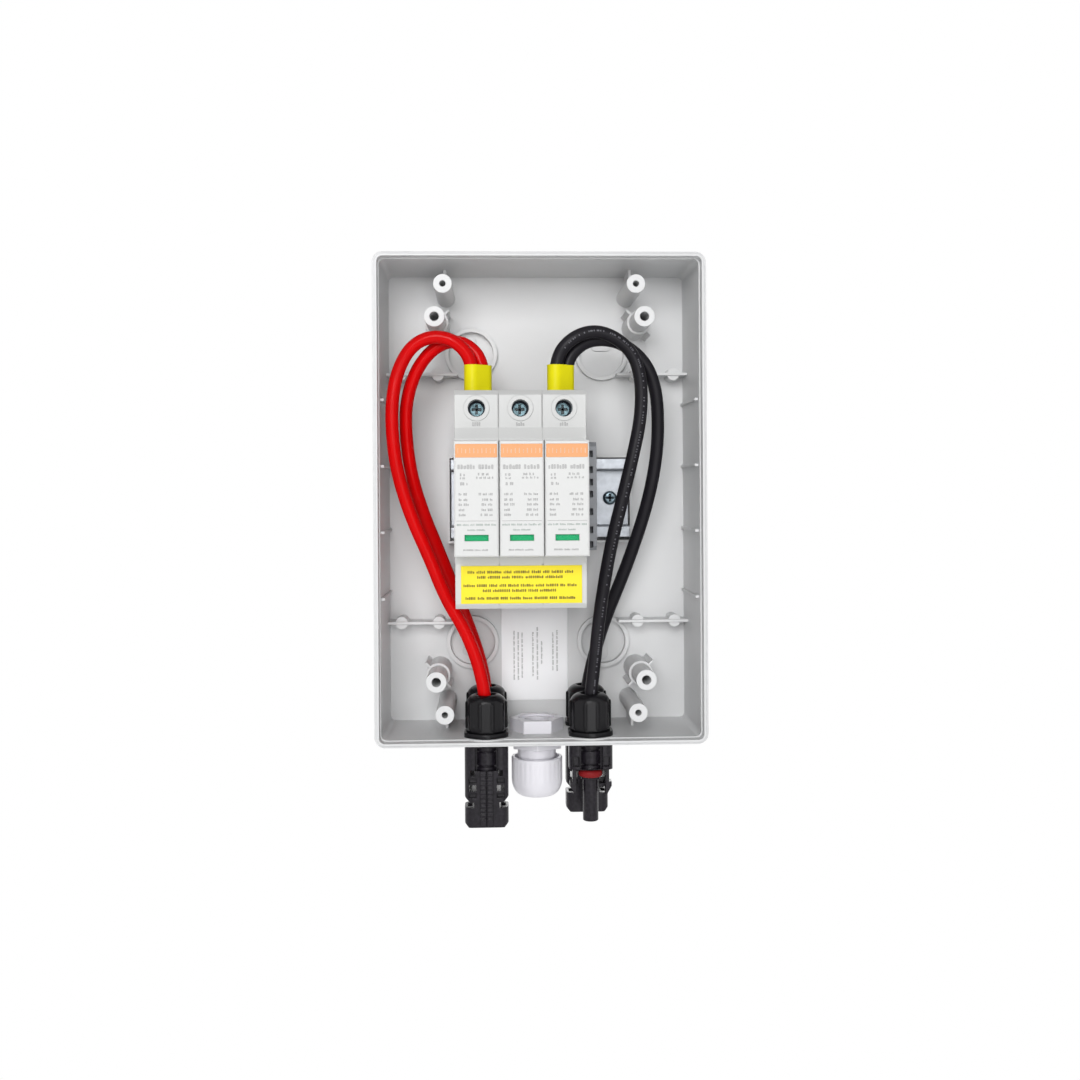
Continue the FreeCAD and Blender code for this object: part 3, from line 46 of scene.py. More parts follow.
# The photograph's camera, in millimetres, degrees and pixels of the 1080 pixel frame
PICTURE = 1080.0
CAMERA_AT = (-21.0, -565.0, 4.8)
CAMERA_YAW = 2.28
CAMERA_ROLL = -0.33
FOCAL_PIXELS = 1218.0
SHIFT_PIXELS = -52.5
SENSOR = 36.0
CLIP_START = 0.01

# Lead routes, in millimetres, from ferrule to connector; the lengths are in metres
LEAD_WIDE = 5.6
LEAD_ROUNDNESS = 8
LEAD_SMOOTHNESS = 8
SPLINE_ORDER = 3
POSITIVE_FRONT = (
    (-28.8, -46.8, 50.0), (-28.8, -46.8, 58.8), (-35.3, -48.2, 66.9), (-44.8, -47.4, 69.6),
    (-54.0, -46.2, 66.0), (-60.2, -45.0, 56.4), (-63.1, -44.6, 43.5), (-63.3, -44.2, 28.5),
    (-61.3, -43.6, 11.8), (-55.6, -42.6, -7.2), (-47.6, -41.4, -25.2), (-41.0, -40.0, -42.5),
    (-32.4, -38.8, -57.0), (-26.6, -37.8, -72.6), (-23.8, -37.5, -88.5), (-23.8, -37.5, -97.0))
POSITIVE_REAR = (
    (-24.2, -43.2, 50.0), (-24.2, -43.2, 58.8), (-31.0, -42.0, 66.8), (-39.8, -40.5, 68.0),
    (-48.0, -39.3, 63.0), (-54.5, -38.0, 53.2), (-58.0, -36.6, 40.1), (-57.8, -34.8, 25.4),
    (-55.8, -32.4, 9.9), (-51.0, -28.4, -6.5), (-44.8, -22.8, -22.5), (-39.2, -18.0, -37.5),
    (-33.3, -15.8, -52.5), (-28.3, -14.8, -66.5), (-25.0, -14.5, -78.5), (-23.8, -14.5, -88.5),
    (-23.8, -14.5, -97.0))
NEGATIVE_FRONT = (
    (6.5, -46.8, 50.0), (6.5, -46.8, 59.0), (11.8, -48.4, 67.2), (21.4, -47.5, 71.7),
    (31.2, -46.4, 69.7), (40.2, -45.2, 62.1), (43.6, -44.6, 50.3), (43.3, -43.8, 34.2),
    (39.6, -43.0, 17.0), (35.3, -42.0, -0.5), (30.9, -40.6, -18.0), (27.6, -39.2, -36.1),
    (25.0, -38.2, -54.0), (23.5, -37.7, -69.0), (22.2, -37.5, -80.0), (21.2, -37.5, -89.0),
    (21.2, -37.5, -97.0))
NEGATIVE_REAR = (
    (11.1, -43.2, 50.0), (11.1, -43.2, 58.8), (18.0, -42.2, 66.8), (27.0, -40.8, 68.9),
    (36.6, -39.5, 66.8), (46.0, -38.3, 59.3), (50.8, -36.8, 48.0), (52.1, -34.7, 33.0),
    (51.4, -32.6, 17.0), (48.2, -30.2, -0.5), (43.3, -26.8, -17.5), (37.1, -22.8, -35.5),
    (30.6, -18.8, -52.0), (26.0, -15.8, -66.8), (22.9, -14.6, -79.0), (21.2, -14.5, -89.0),
    (21.2, -14.5, -97.0))

# Print, in millimetres: the depths of the printed faces, and how far ink goes in and stands out
POLE_X = (-27.0, -9.0, 9.0)
MODULE_FRONT = 83.0
SHELF_FRONT = 65.0
SPD_LABEL_FRONT = 65.3
FLOOR_LABEL_FRONT = 3.3
PRINT_SUNK = 0.02
PRINT_PROUD = 0.03
ROUND_LIMIT = 0.49

# A row of words: widths of words against each other, then shares of the row's height or pitch
WORD_WIDTHS = (0.6, 1.6)
WORD_GAP = 0.6
STROKE_PITCH = 0.64
STROKE_WIDTHS = (0.6, 0.85)
STROKE_TOPS = (0.5, 0.5, 0.28)
STROKE_FOOT = 0.5
STROKE_ROUND = 0.1

# A module's print, from the middle of its face
BAND_Z = (16.8, 22.2)
BAND_HALF = 8.3
BAND_CORNER = 0.3
BAND_STEPS = 4
BAND_WORDS_X = (-7.3, 7.5)
BAND_WORDS_TALL = 2.1
BAND_WORD_COUNT = 10
RULE_Z = -8.3
RULE_HALF = 7.9
RULE_HALF_THICK = 0.09
RULE_CORNER = 0.05
# Rows of (height, left end, right end, tallness, words)
GREY_ROWS = (
    (13.1, -7.4, 7.2, 1.8, 2), (10.0, -6.5, -4.3, 1.1, 2), (10.2, 0.6, 5.0, 1.0, 3),
    (8.8, 0.0, 6.8, 0.9, 5), (8.6, -6.5, -4.3, 0.8, 2), (6.4, -6.4, -3.2, 1.2, 2),
    (2.3, -7.0, -3.6, 1.0, 2), (0.1, -7.0, -3.4, 1.0, 2), (-1.8, -7.0, -2.8, 1.0, 2),
    (-3.9, -7.0, -4.6, 1.0, 1), (-5.9, -7.0, -4.2, 1.0, 1), (2.3, 0.9, 6.5, 1.0, 3),
    (0.1, 2.3, 6.5, 1.0, 2), (-1.8, 2.0, 6.5, 1.0, 2), (-3.9, 2.0, 6.5, 1.0, 2),
    (-5.9, 1.6, 6.5, 1.0, 3), (-19.8, -5.3, 4.5, 0.7, 3))
GREEN_ROWS = ((-9.8, -7.8, 7.8, 0.8, 6), (-11.9, -3.6, 3.4, 0.7, 2))

# The mark under each upper terminal: height, half width, tallness and words
SHELF_MARK = (30.9, 1.8, 1.6, 1)

# The labels: rows of (height, left end, right end, words), and columns of (place, lower end,
# upper end, words)
LABEL_TALL = 1.15
FLOOR_TALL = 0.7
LABEL_ROWS = (
    (-29.8, -31.0, 12.5, 9), (-31.9, -27.1, 8.1, 6), (-35.3, -32.7, 13.9, 10),
    (-37.4, -24.8, 5.5, 5), (-40.5, -31.9, 13.3, 9))
FLOOR_COLUMNS = (
    (-11.0, -83.8, -61.1, 9), (-9.1, -83.8, -61.8, 8), (-7.3, -82.8, -62.0, 8),
    (-2.3, -82.2, -61.8, 8), (-0.3, -83.8, -59.5, 9), (1.7, -76.6, -66.0, 4),
    (6.9, -79.6, -62.0, 7), (8.8, -79.9, -61.0, 7))

# Seeds of the random draws; each module's rows start further on by MODULE_SEEDS
MODULE_SEEDS = 10
GREEN_SEED = 50
SHELF_SEED = 70
LABEL_SEED = 200
FLOOR_SEED = 300
BAND_SEED = 400
MARKS_SEED = 31

# The gland's cap, in millimetres
GLAND_AT = (-1.6, 26.0)
CAP_Z = (-130.8, -113.9)
CAP_RADIUS = 11.2
CAP_DOME_Z = -123.6
CAP_MOUTH = 5.4
CAP_MOUTH_RIM = 1.0
CAP_MOUTH_DEEP = 3.0
CAP_LIP_RADIUS = 9.9
CAP_LIP_DEEP = 1.6
CAP_BORE = 7.95
CAP_BORE_END = -119.0
CAP_EDGE = 0.3
CAP_RIBS = 28
CAP_RIB = 0.14
CAP_RIBS_START = 1.2
CAP_RIBS_STOP = 1.6
CAP_RIBS_FADED = 1.1
CAP_SIDES = 280
CAP_STEPS = 12
CAP_SMOOTH = 35

# The crosses in the screws' heads, in millimetres; a plate at each cross's floor is painted shade
TERMINAL_Z = 37.5
TERMINAL_HEAD_FRONT = 54.8
TERMINAL_RECESS = 1.96
RAIL_SCREWS = ((32.5, 0.0), (-30.7, 0.0))
RAIL_HEAD_FRONT = 16.3
RAIL_RECESS = 1.86
RECESS_WIDE = 1.0
RECESS_GAP = 0.05
RECESS_CORNER = 0.2
TERMINAL_FLOOR_DEEP = 0.6
RAIL_FLOOR_DEEP = 1.2

# Marks along one lead, in millimetres and shares; legs are counted from the ferrule
MARK_LEGS = (2, 15)
MARKS_PER_LEG = 14
MARK_GAPS = 0.35
MARK_PLACES = (0.3, 0.7)
MARK_FACING = (0.35, -1, 0.1)
MARK_HALF = 0.34
MARK_LENGTH = 0.8
MARK_SUNK = 0.12
MARK_PROUD = 0.04

# The surround, the floor and the lamps, in metres and watts
SURROUND = 0.22
WHITE = 1.0
FLOOR_REACH = 3.0
FLOOR_Z = -0.45
FLOOR_GREY = 0.9
FLOOR_ROUGH = 0.8
LAMPS = (
    ("key", (-0.25, -1.6, 0.45), 0.7, 16.5), ("fill", (0.35, -1.6, -0.1), 0.8, 4.5),
    ("behind", (0.5, 1.6, 0.7), 1.2, 11.0), ("left", (-1.5, 0.5, 0.3), 1.0, 8.0),
    ("right", (1.5, 0.5, 0.3), 1.0, 8.0))

# Details of every finish: noise, ends of the tone ramp, and relief in metres
PATCH_DETAIL = 4.0
GRAIN_DETAIL = 3.0
RAMP_ENDS = (0.3, 0.7)
EDGE_SAMPLES = 4
RELIEF_DEEP = 0.0002
WINDOW_STREAKS = 700.0
WINDOW_DETAIL = 2.0
WINDOW_ROUGH = (0.10, 0.22)
WINDOW_GLOSS = 0.15


def metres(point):
    return Vector(point) * MM


def link_nodes(tree, *pairs):
    for source, target in pairs:
        tree.links.new(source, target)


def add_node(tree, kind, **values):
    """Adds a shader node; a value is set on the input of that name or on the node itself."""
    node = tree.nodes.new("ShaderNode" + kind)
    for name, value in values.items():
        socket = node.inputs.get(name.replace("_", " ").title())
        if socket is None:
            setattr(node, name, value)
        else:
            socket.default_value = value
    return node


def new_material(name):
    """A node material, its tree, its surface shader and its object coordinates."""
    material = bpy.data.materials.new(name)
    material.use_nodes = True
    tree = material.node_tree
    shader = tree.nodes["Principled BSDF"]
    coordinates = add_node(tree, "TexCoord")
    return material, tree, shader, coordinates.outputs["Object"]


def tone(colour, factor):
    return tuple(min(1.0, c * factor) for c in colour) + (1.0,)


def finish_material(name, colour, rough, metal=0.0, grain=2600.0, bump=0.06, vary=0.03,
                    patch=60.0, round_edges=0.0004, coat=0.0, rough_vary=0.06, gloss=0.5):
    """A moulded, painted or plated finish: patchy tone, fine grain and softened edges."""
    material, tree, shader, where = new_material(name)
    patches = add_node(tree, "TexNoise", Scale=patch, Detail=PATCH_DETAIL)
    fine = add_node(tree, "TexNoise", Scale=grain, Detail=GRAIN_DETAIL)
    ramp = add_node(tree, "ValToRGB")
    stops = zip(ramp.color_ramp.elements, RAMP_ENDS, (1 - vary, 1 + vary))
    for stop, place, factor in stops:
        stop.position = place
        stop.color = tone(colour, factor)
    spread = add_node(tree, "MapRange")
    spread.inputs["To Min"].default_value = rough - rough_vary
    spread.inputs["To Max"].default_value = rough + rough_vary
    edge = add_node(tree, "Bevel", samples=EDGE_SAMPLES)
    edge.inputs["Radius"].default_value = round_edges
    relief = add_node(tree, "Bump", Strength=bump)
    relief.inputs["Distance"].default_value = RELIEF_DEEP
    link_nodes(
        tree,
        (where, patches.inputs["Vector"]),
        (where, fine.inputs["Vector"]),
        (patches.outputs["Fac"], ramp.inputs["Fac"]),
        (ramp.outputs["Color"], shader.inputs["Base Color"]),
        (fine.outputs["Fac"], spread.inputs["Value"]),
        (spread.outputs["Result"], shader.inputs["Roughness"]),
        (fine.outputs["Fac"], relief.inputs["Height"]),
        (edge.outputs["Normal"], relief.inputs["Normal"]),
        (relief.outputs["Normal"], shader.inputs["Normal"]))
    shader.inputs["Metallic"].default_value = metal
    shader.inputs["Specular IOR Level"].default_value = gloss
    shader.inputs["Coat Weight"].default_value = coat
    return material


def clear_material(name, colour, cover):
    """A thin clear window: faintly tinted, and mostly seen through."""
    material, tree, shader, where = new_material(name)
    streaks = add_node(tree, "TexNoise", Scale=WINDOW_STREAKS, Detail=WINDOW_DETAIL)
    spread = add_node(tree, "MapRange")
    spread.inputs["To Min"].default_value = WINDOW_ROUGH[0]
    spread.inputs["To Max"].default_value = WINDOW_ROUGH[1]
    link_nodes(
        tree,
        (where, streaks.inputs["Vector"]),
        (streaks.outputs["Fac"], spread.inputs["Value"]),
        (spread.outputs["Result"], shader.inputs["Roughness"]))
    shader.inputs["Base Color"].default_value = colour + (1.0,)
    shader.inputs["Specular IOR Level"].default_value = WINDOW_GLOSS
    shader.inputs["Alpha"].default_value = cover
    return material


# Finishes: colour, roughness and what differs from the defaults of finish_material
FINISHES = {
    "tray_plastic": ((0.66, 0.665, 0.67), 0.42, dict(bump=0.08, vary=0.012)),
    "base_plastic": ((0.59, 0.595, 0.59), 0.42, dict(vary=0.012)),
    "module_plastic": ((0.645, 0.65, 0.645), 0.40, dict(vary=0.012)),
    "clamp_plastic": ((0.29, 0.30, 0.32), 0.50, dict(vary=0.04, gloss=0.2)),
    "foot_plastic": ((0.02, 0.02, 0.02), 0.40, dict(vary=0.1)),
    "flag_green": ((0.006, 0.52, 0.17), 0.45, dict(gloss=0.06)),
    "rail_zinc": (
        (0.40, 0.42, 0.45), 0.50,
        dict(metal=1.0, patch=300.0, grain=900.0, bump=0.10, vary=0.10, rough_vary=0.10)),
    "screw_zinc": (
        (0.15, 0.20, 0.23), 0.30, dict(metal=1.0, patch=900.0, vary=0.12, round_edges=0.0002)),
    "terminal_zinc": (
        (0.062, 0.094, 0.106), 0.30, dict(metal=1.0, patch=900.0, vary=0.45, round_edges=0.0003)),
    "clamp_steel": ((0.035, 0.04, 0.05), 0.40, dict(metal=1.0, vary=0.08)),
    "contact_copper": ((0.72, 0.36, 0.20), 0.28, dict(metal=1.0, vary=0.10, patch=200.0)),
    "varistor_coat": ((0.04, 0.08, 0.25), 0.30, dict(coat=0.4)),
    "ferrule_yellow": ((0.80, 0.73, 0.008), 0.32, dict(vary=0.06, gloss=0.1)),
    "ferrule_tin": ((0.75, 0.75, 0.75), 0.30, dict(metal=1.0, vary=0.06)),
    "lead_red": (
        (0.63, 0.0010, 0.0018), 0.20,
        dict(vary=0.06, bump=0.03, patch=90.0, round_edges=0.0001, gloss=0.09)),
    "lead_black": (
        (0.011, 0.010, 0.013), 0.36,
        dict(vary=0.10, bump=0.05, patch=90.0, round_edges=0.0001, gloss=0.14)),
    "connector_black": (
        (0.005, 0.0045, 0.006), 0.20,
        dict(vary=0.10, bump=0.08, round_edges=0.0010, gloss=0.24, rough_vary=0.04)),
    "shell_black": (
        (0.013, 0.011, 0.015), 0.24,
        dict(vary=0.40, patch=700.0, bump=0.12, round_edges=0.0008, gloss=0.22)),
    "seal_black": ((0.010, 0.010, 0.010), 0.60, dict(vary=0.10, gloss=0.3)),
    "seal_red": ((0.22, 0.010, 0.012), 0.50, dict(vary=0.06, gloss=0.15)),
    "contact_silver": ((0.72, 0.72, 0.70), 0.25, dict(metal=1.0)),
    "gland_plastic": ((0.74, 0.73, 0.775), 0.34, dict(vary=0.015)),
    "gland_rubber": ((0.10, 0.10, 0.10), 0.60, dict(vary=0.08)),
    "label_film": ((0.92, 0.77, 0.045), 0.35, dict(vary=0.01, bump=0.02, gloss=0.08)),
    "print_orange": ((0.80, 0.36, 0.15), 0.40, dict(vary=0.01, bump=0.02, gloss=0.3)),
    "print_pale": ((0.86, 0.62, 0.46), 0.40, dict(vary=0.01, bump=0.02)),
    "print_grey": ((0.44, 0.44, 0.44), 0.45, dict(vary=0.03, bump=0.02)),
    "print_green": ((0.42, 0.48, 0.45), 0.45, dict(vary=0.03, bump=0.02)),
    "print_olive": ((0.20, 0.16, 0.035), 0.45, dict(vary=0.03, bump=0.02, gloss=0.15)),
    "print_lead": ((0.10, 0.10, 0.115), 0.45, dict(vary=0.20, bump=0.02, patch=900.0)),
    # Painted shade: colours of the plates at the floors of the screws' crosses, dim teal in the
    # terminal screws and dark in the rail's screws
    "recess_shade_teal": ((0.055, 0.085, 0.10), 0.45, dict(vary=0.45, patch=900.0)),
    "recess_shade_dark": ((0.035, 0.045, 0.055), 0.60, dict(vary=0.10, gloss=0.2)),
    "label_white": ((0.93, 0.935, 0.95), 0.35, dict(vary=0.01, bump=0.02)),
}
MATERIALS = {name: finish_material(name, colour, rough, **looks)
             for name, (colour, rough, looks) in FINISHES.items()}
MATERIALS["window_clear"] = clear_material("window_clear", (0.10, 0.60, 0.35), 0.12)


def mesh_piece(name, body, material, verts, faces, smooth=None):
    """A mesh given in millimetres that rides on a body."""
    mesh = bpy.data.meshes.new(name)
    mesh.from_pydata([metres(v) for v in verts], [], faces)
    shell = bmesh.new()
    shell.from_mesh(mesh)
    bmesh.ops.recalc_face_normals(shell, faces=shell.faces)
    shell.to_mesh(mesh)
    shell.free()
    if smooth is not None:
        mesh.shade_smooth()
        mesh.set_sharp_from_angle(angle=math.radians(smooth))
    mesh.materials.append(MATERIALS[material])
    piece = bpy.data.objects.new(name, mesh)
    bpy.context.scene.collection.objects.link(piece)
    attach(piece, body)
    return piece


def rounded_outline(x0, x1, z0, z1, corner, steps):
    """The outline of an upright plate with round corners."""
    radius = min(corner, (x1 - x0) * ROUND_LIMIT, (z1 - z0) * ROUND_LIMIT)
    middles = ((x1 - radius, z1 - radius), (x0 + radius, z1 - radius),
               (x0 + radius, z0 + radius), (x1 - radius, z0 + radius))
    points = []
    for quarter, (x, z) in enumerate(middles):
        for step in range(steps + 1):
            turn = (quarter + step / steps) * math.pi / 2
            points.append((x + radius * math.cos(turn), z + radius * math.sin(turn)))
    return points


def printed(name, body, material, plates, depth, steps=1):
    """Ink or film on a front face: one thin plate for each (x0, x1, z0, z1, corner)."""
    verts = []
    faces = []
    for x0, x1, z0, z1, corner in plates:
        outline = rounded_outline(x0, x1, z0, z1, corner, steps)
        first = len(verts)
        count = len(outline)
        for level in (depth - PRINT_SUNK, depth + PRINT_PROUD):
            verts += [(x, -level, z) for x, z in outline]
        faces.append(tuple(range(first, first + count)))
        faces.append(tuple(range(first + count, first + 2 * count)))
        for i in range(count):
            j = (i + 1) % count
            faces.append((first + i, first + j, first + count + j, first + count + i))
    mesh_piece(name, body, material, verts, faces)


def word_bars(x0, x1, z, high, words, seed):
    """A row of short strokes, grouped as words are, from x0 to x1."""
    draw = random.Random(seed)
    widths = [draw.uniform(*WORD_WIDTHS) for _ in range(words)]
    gap = high * WORD_GAP
    scale = (x1 - x0 - gap * (words - 1)) / sum(widths)
    bars = []
    x = x0
    for width in widths:
        strokes = max(1, round(width * scale / (high * STROKE_PITCH)))
        pitch = width * scale / strokes
        for stroke in range(strokes):
            left = x + stroke * pitch
            wide = pitch * draw.uniform(*STROKE_WIDTHS)
            top = high * draw.choice(STROKE_TOPS)
            bars.append((left, left + wide, z - high * STROKE_FOOT, z + top, high * STROKE_ROUND))
        x += width * scale + gap
    return bars


def module_prints():
    """The printed face of each plug-in module."""
    for i, x in enumerate(POLE_X, 1):
        body = "module_%d" % i
        low, high = BAND_Z
        printed("module_band_%d" % i, body, "print_orange",
                [(x - BAND_HALF, x + BAND_HALF, low, high, BAND_CORNER)], MODULE_FRONT,
                BAND_STEPS)
        words = word_bars(x + BAND_WORDS_X[0], x + BAND_WORDS_X[1], (low + high) / 2,
                          BAND_WORDS_TALL, BAND_WORD_COUNT, BAND_SEED)
        printed("module_band_words_%d" % i, body, "print_pale", words,
                MODULE_FRONT + PRINT_PROUD)
        rule = (x - RULE_HALF, x + RULE_HALF, RULE_Z - RULE_HALF_THICK, RULE_Z + RULE_HALF_THICK,
                RULE_CORNER)
        grey = [rule]
        for row, (z, x0, x1, tall, words) in enumerate(GREY_ROWS):
            grey += word_bars(x + x0, x + x1, z, tall, words, MODULE_SEEDS * i + row)
        printed("module_print_%d" % i, body, "print_grey", grey, MODULE_FRONT)
        green = []
        for row, (z, x0, x1, tall, words) in enumerate(GREEN_ROWS):
            green += word_bars(x + x0, x + x1, z, tall, words,
                               GREEN_SEED + MODULE_SEEDS * i + row)
        printed("module_note_%d" % i, body, "print_green", green, MODULE_FRONT)


def shelf_marks():
    """A small mark under each upper terminal."""
    z, half, tall, words = SHELF_MARK
    for i, x in enumerate(POLE_X, 1):
        bars = word_bars(x - half, x + half, z, tall, words, SHELF_SEED + i)
        printed("shelf_mark_%d" % i, "enclosure", "print_grey", bars, SHELF_FRONT)


def label_prints():
    """Strokes in place of the words on the two labels."""
    bars = []
    for row, (z, x0, x1, words) in enumerate(LABEL_ROWS):
        bars += word_bars(x0, x1, z, LABEL_TALL, words, LABEL_SEED + row)
    printed("spd_label_print", "enclosure", "print_olive", bars, SPD_LABEL_FRONT)
    bars = []
    for column, (x, z0, z1, count) in enumerate(FLOOR_COLUMNS):
        strokes = word_bars(z0, z1, x, FLOOR_TALL, count, FLOOR_SEED + column)
        bars += [(left, right, low, high, corner) for low, high, left, right, corner in strokes]
    printed("floor_label_print", "enclosure", "print_grey", bars, FLOOR_LABEL_FRONT)


def dress_frame():
    """Gives each CAD node its slot's finish, and terminal screws and shells their own."""
    for part in frame["record"]["subparts"]:
        node = frame["nodes"][part["node"]]
        finish = part["material_slot"]
        if part["node"] == "terminal_screws":
            finish = "terminal_zinc"
        if part["node"].endswith("_shell"):
            finish = "shell_black"
        node.data.materials.clear()
        node.data.materials.append(MATERIALS[finish])


def turned(name, body, material, outline, middle, sides, ribs, smooth):
    """A turned piece round an upright axis; rows are (radius, height, depth of the ribs)."""
    verts = []
    faces = []
    for radius, height, relief in outline:
        for side in range(sides):
            turn = 2 * math.pi * side / sides
            wave = relief * (0.5 - 0.5 * math.cos(ribs * turn)) ** 2
            reach = radius - wave
            verts.append((middle[0] + reach * math.cos(turn),
                          -middle[1] + reach * math.sin(turn), height))
    rows = len(outline)
    for row in range(rows):
        after = (row + 1) % rows
        for side in range(sides):
            beside = (side + 1) % sides
            faces.append((row * sides + side, row * sides + beside,
                          after * sides + beside, after * sides + side))
    return mesh_piece(name, body, material, verts, faces, smooth)


def recess_shade_plate(name, material, centres, size, depth):
    """A plate at the floor of the cross in each screw's head, coloured to paint the recess's
    shade.
    """
    half = RECESS_WIDE / 2 - RECESS_GAP
    reach = size - RECESS_GAP
    plates = []
    for x, z in centres:
        plates.append((x - reach, x + reach, z - half, z + half, RECESS_CORNER))
        plates.append((x - half, x + half, z - reach, z + reach, RECESS_CORNER))
    printed(name, "enclosure", material, plates, depth)


def screw_recess_shade():
    """Painted shade at the floors of the crosses in the terminal screws and the rail's screws:
    dim teal plates in the terminal screws, dark plates in the rail's.
    """
    terminals = [(x, side * TERMINAL_Z) for x in POLE_X for side in (-1, 1)]
    # Painted shade, softer: a dim teal plate at the floor of each terminal screw's cross
    recess_shade_plate("terminal_screw_recess_shade", "recess_shade_teal", terminals, TERMINAL_RECESS,
                 TERMINAL_HEAD_FRONT - TERMINAL_FLOOR_DEEP)
    # Painted shade: a dark plate at the floor of each rail screw's cross
    recess_shade_plate("rail_screw_recess_shade", "recess_shade_dark", RAIL_SCREWS, RAIL_RECESS,
                 RAIL_HEAD_FRONT - RAIL_FLOOR_DEEP)


def gland_cap():
    """The gland's domed cap with fine ribs round its wall, in place of its plainer solid."""
    low, high = CAP_Z
    dome_start = CAP_MOUTH + CAP_MOUTH_RIM
    outline = [(CAP_MOUTH, low, 0.0)]
    for step in range(CAP_STEPS + 1):
        turn = step / CAP_STEPS * math.pi / 2
        radius = dome_start + (CAP_RADIUS - dome_start) * math.sin(turn)
        height = CAP_DOME_Z - (CAP_DOME_Z - low) * math.cos(turn)
        outline.append((radius, height, 0.0))
    outline += [
        (CAP_RADIUS, CAP_DOME_Z + CAP_RIBS_START, CAP_RIB),
        (CAP_RADIUS, high - CAP_RIBS_STOP, CAP_RIB), (CAP_RADIUS, high - CAP_RIBS_FADED, 0.0),
        (CAP_RADIUS, high - CAP_EDGE, 0.0), (CAP_RADIUS - CAP_EDGE, high, 0.0),
        (CAP_LIP_RADIUS, high, 0.0), (CAP_LIP_RADIUS, high - CAP_LIP_DEEP, 0.0),
        (CAP_BORE, high - CAP_LIP_DEEP, 0.0), (CAP_BORE, CAP_BORE_END, 0.0),
        (CAP_MOUTH, low + CAP_MOUTH_DEEP, 0.0)]
    cap = turned("gland_cap_shell", "enclosure", "gland_plastic", outline, GLAND_AT, CAP_SIDES,
                 CAP_RIBS, CAP_SMOOTH)
    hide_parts("gland_cap")


def lead(node, route, slot):
    """One lead as a smooth curve on its route, in place of its CAD tube."""
    curve = bpy.data.curves.new(node + "_sleeve", "CURVE")
    curve.dimensions = "3D"
    curve.bevel_depth = LEAD_WIDE / 2 * MM
    curve.bevel_resolution = LEAD_ROUNDNESS
    curve.use_fill_caps = True
    curve.resolution_u = LEAD_SMOOTHNESS
    spline = curve.splines.new("NURBS")
    spline.points.add(len(route) - 1)
    for point, place in zip(spline.points, route):
        point.co = (*metres(place), 1.0)
    spline.order_u = SPLINE_ORDER
    spline.use_endpoint_u = True
    curve.materials.append(MATERIALS[slot])
    sleeve = bpy.data.objects.new(node + "_sleeve", curve)
    bpy.context.scene.collection.objects.link(sleeve)
    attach(sleeve, "enclosure")
    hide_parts(node)


def along(route, leg, share):
    """A point and a direction on a lead; legs are counted from the ferrule."""
    before, here, after = (Vector(route[leg + k]) for k in (-1, 0, 1))
    start = (before + here) / 2
    end = (here + after) / 2
    rest = 1 - share
    point = start * rest * rest + here * 2 * rest * share + end * share * share
    return point, ((here - start) * rest + (end - here) * share).normalized()


def lead_marks(name, route, legs, seed):
    """The faint marks along a lead, in place of its printed words."""
    draw = random.Random(seed)
    verts = []
    faces = []
    for leg in legs:
        for mark in range(MARKS_PER_LEG):
            if draw.random() < MARK_GAPS:
                continue
            share = (mark + draw.uniform(*MARK_PLACES)) / MARKS_PER_LEG
            point, ahead = along(route, leg, share)
            side = ahead.cross(Vector(MARK_FACING)).normalized()
            out = side.cross(ahead).normalized()
            first = len(verts)
            for level in (LEAD_WIDE / 2 - MARK_SUNK, LEAD_WIDE / 2 + MARK_PROUD):
                for u, v in ((-1, -1), (1, -1), (1, 1), (-1, 1)):
                    across = side * u * MARK_HALF
                    onward = ahead * v * MARK_HALF * MARK_LENGTH
                    verts.append(tuple(point + out * level + across + onward))
            for face in ((0, 1, 2, 3), (4, 5, 6, 7), (0, 1, 5, 4), (1, 2, 6, 5), (2, 3, 7, 6),
                         (3, 0, 4, 7)):
                faces.append(tuple(first + k for k in face))
    return mesh_piece(name, "enclosure", "print_lead", verts, faces)


def leads():
    """The four leads; only the front black one carries marks."""
    lead("positive_lead_front", POSITIVE_FRONT, "lead_red")
    lead("positive_lead_rear", POSITIVE_REAR, "lead_red")
    marks = lead_marks("negative_front_marks", NEGATIVE_FRONT, range(*MARK_LEGS), MARKS_SEED)
    lead("negative_lead_front", NEGATIVE_FRONT, "lead_black")
    lead("negative_lead_rear", NEGATIVE_REAR, "lead_black")


def camera():
    """The photograph's camera: a level lens with a vertical shift."""
    data = bpy.data.cameras.new("camera")
    data.sensor_width = SENSOR
    data.lens = FOCAL_PIXELS / PICTURE * SENSOR
    data.shift_y = SHIFT_PIXELS / PICTURE
    data.clip_start = CLIP_START
    yaw = math.radians(CAMERA_YAW)
    roll = math.radians(CAMERA_ROLL)
    ahead = Vector((math.sin(yaw), math.cos(yaw), 0))
    level = Vector((math.cos(yaw), -math.sin(yaw), 0))
    upright = Vector((0, 0, 1))
    right = level * math.cos(roll) + upright * math.sin(roll)
    up = upright * math.cos(roll) - level * math.sin(roll)
    turn = Matrix((right, up, -ahead)).transposed()
    eye = bpy.data.objects.new("camera", data)
    eye.matrix_world = Matrix.Translation(metres(CAMERA_AT)) @ turn.to_4x4()
    bpy.context.scene.collection.objects.link(eye)
    bpy.context.scene.camera = eye


def lamp(name, place, size, power):
    """A soft square lamp that points at the middle of the box."""
    data = bpy.data.lights.new(name, "AREA")
    data.shape = "SQUARE"
    data.size = size
    data.energy = power
    light = bpy.data.objects.new(name, data)
    light.location = place
    light.rotation_euler = (-Vector(place)).to_track_quat("-Z", "Y").to_euler()
    bpy.context.scene.collection.objects.link(light)


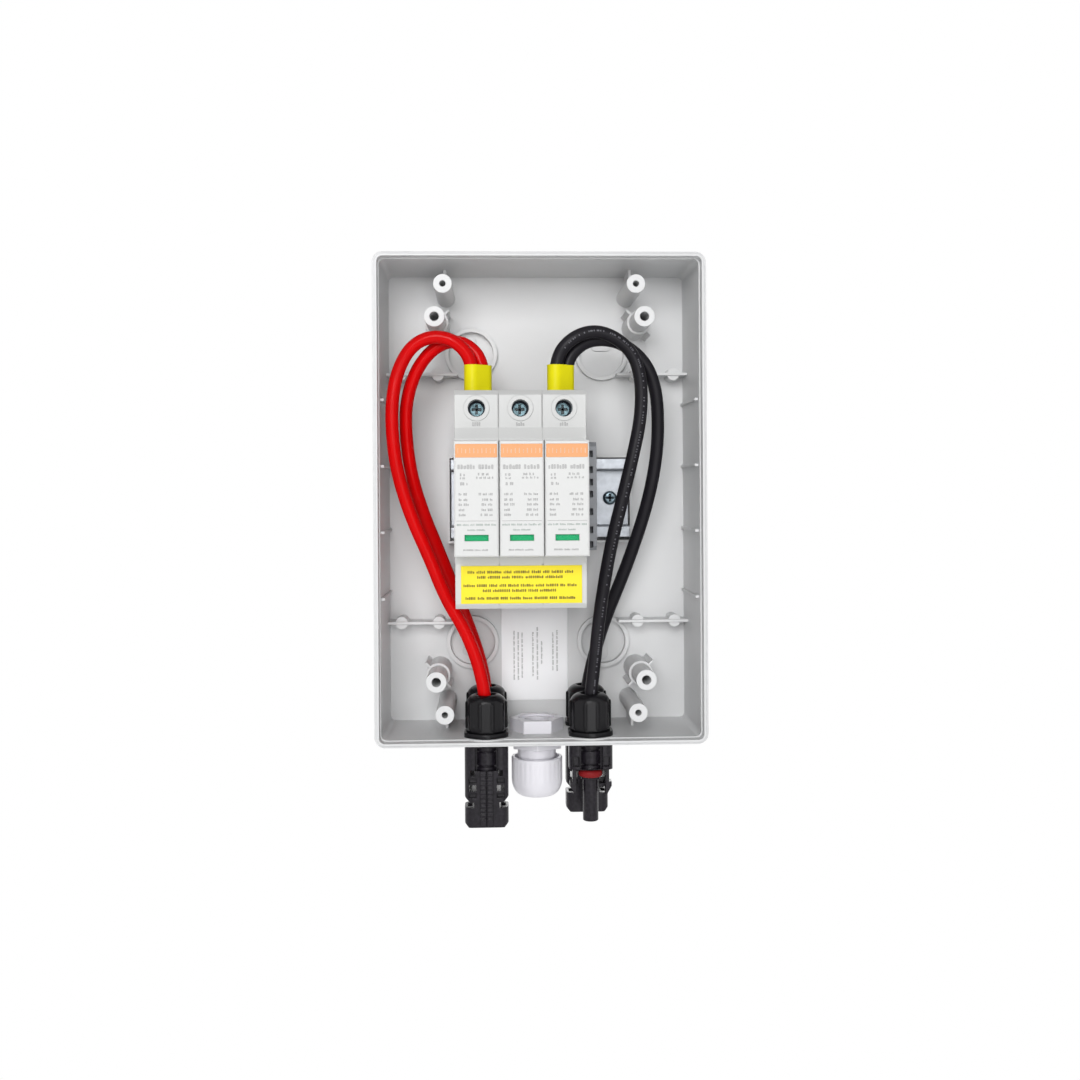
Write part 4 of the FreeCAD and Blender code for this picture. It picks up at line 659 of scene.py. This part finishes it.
def white_to_camera(tree, surface):
    """Shows white to the camera, in gloss and through glass, and the plain surface elsewhere."""
    path = add_node(tree, "LightPath")
    direct = add_node(tree, "Math", operation="MAXIMUM")
    seen = add_node(tree, "Math", operation="MAXIMUM")
    white = add_node(tree, "Emission" if tree.nodes.get("Material Output") else "Background")
    white.inputs["Color"].default_value = (1, 1, 1, 1)
    white.inputs["Strength"].default_value = WHITE
    mix = add_node(tree, "MixShader")
    link_nodes(
        tree,
        (path.outputs["Is Camera Ray"], direct.inputs[0]),
        (path.outputs["Is Transmission Ray"], direct.inputs[1]),
        (direct.outputs[0], seen.inputs[0]),
        (path.outputs["Is Glossy Ray"], seen.inputs[1]),
        (seen.outputs[0], mix.inputs[0]),
        (surface, mix.inputs[1]),
        (white.outputs[0], mix.inputs[2]))
    return mix.outputs[0]


def stage():
    """A pale floor under the box, a white surround and soft lamps."""
    world = bpy.data.worlds.new("surround")
    bpy.context.scene.world = world
    world.use_nodes = True
    tree = world.node_tree
    sky = tree.nodes["Background"]
    sky.inputs["Color"].default_value = (1, 1, 1, 1)
    sky.inputs["Strength"].default_value = SURROUND
    white = white_to_camera(tree, sky.outputs[0])
    tree.links.new(white, tree.nodes["World Output"].inputs["Surface"])
    mesh = bpy.data.meshes.new("floor")
    signs = ((-1, -1), (1, -1), (1, 1), (-1, 1))
    corners = [(x * FLOOR_REACH, y * FLOOR_REACH, FLOOR_Z) for x, y in signs]
    mesh.from_pydata(corners, [], [(0, 1, 2, 3)])
    floor = bpy.data.objects.new("floor", mesh)
    bpy.context.scene.collection.objects.link(floor)
    material, tree, shader, _ = new_material("floor_white")
    shader.inputs["Base Color"].default_value = (FLOOR_GREY,) * 3 + (1.0,)
    shader.inputs["Roughness"].default_value = FLOOR_ROUGH
    white = white_to_camera(tree, shader.outputs[0])
    tree.links.new(white, tree.nodes["Material Output"].inputs["Surface"])
    mesh.materials.append(material)
    for name, place, size, power in LAMPS:
        lamp(name, place, size, power)
    bpy.context.scene.view_settings.view_transform = "Standard"


dress_frame()
module_prints()
shelf_marks()
label_prints()
leads()
screw_recess_shade()
gland_cap()
camera()
stage()
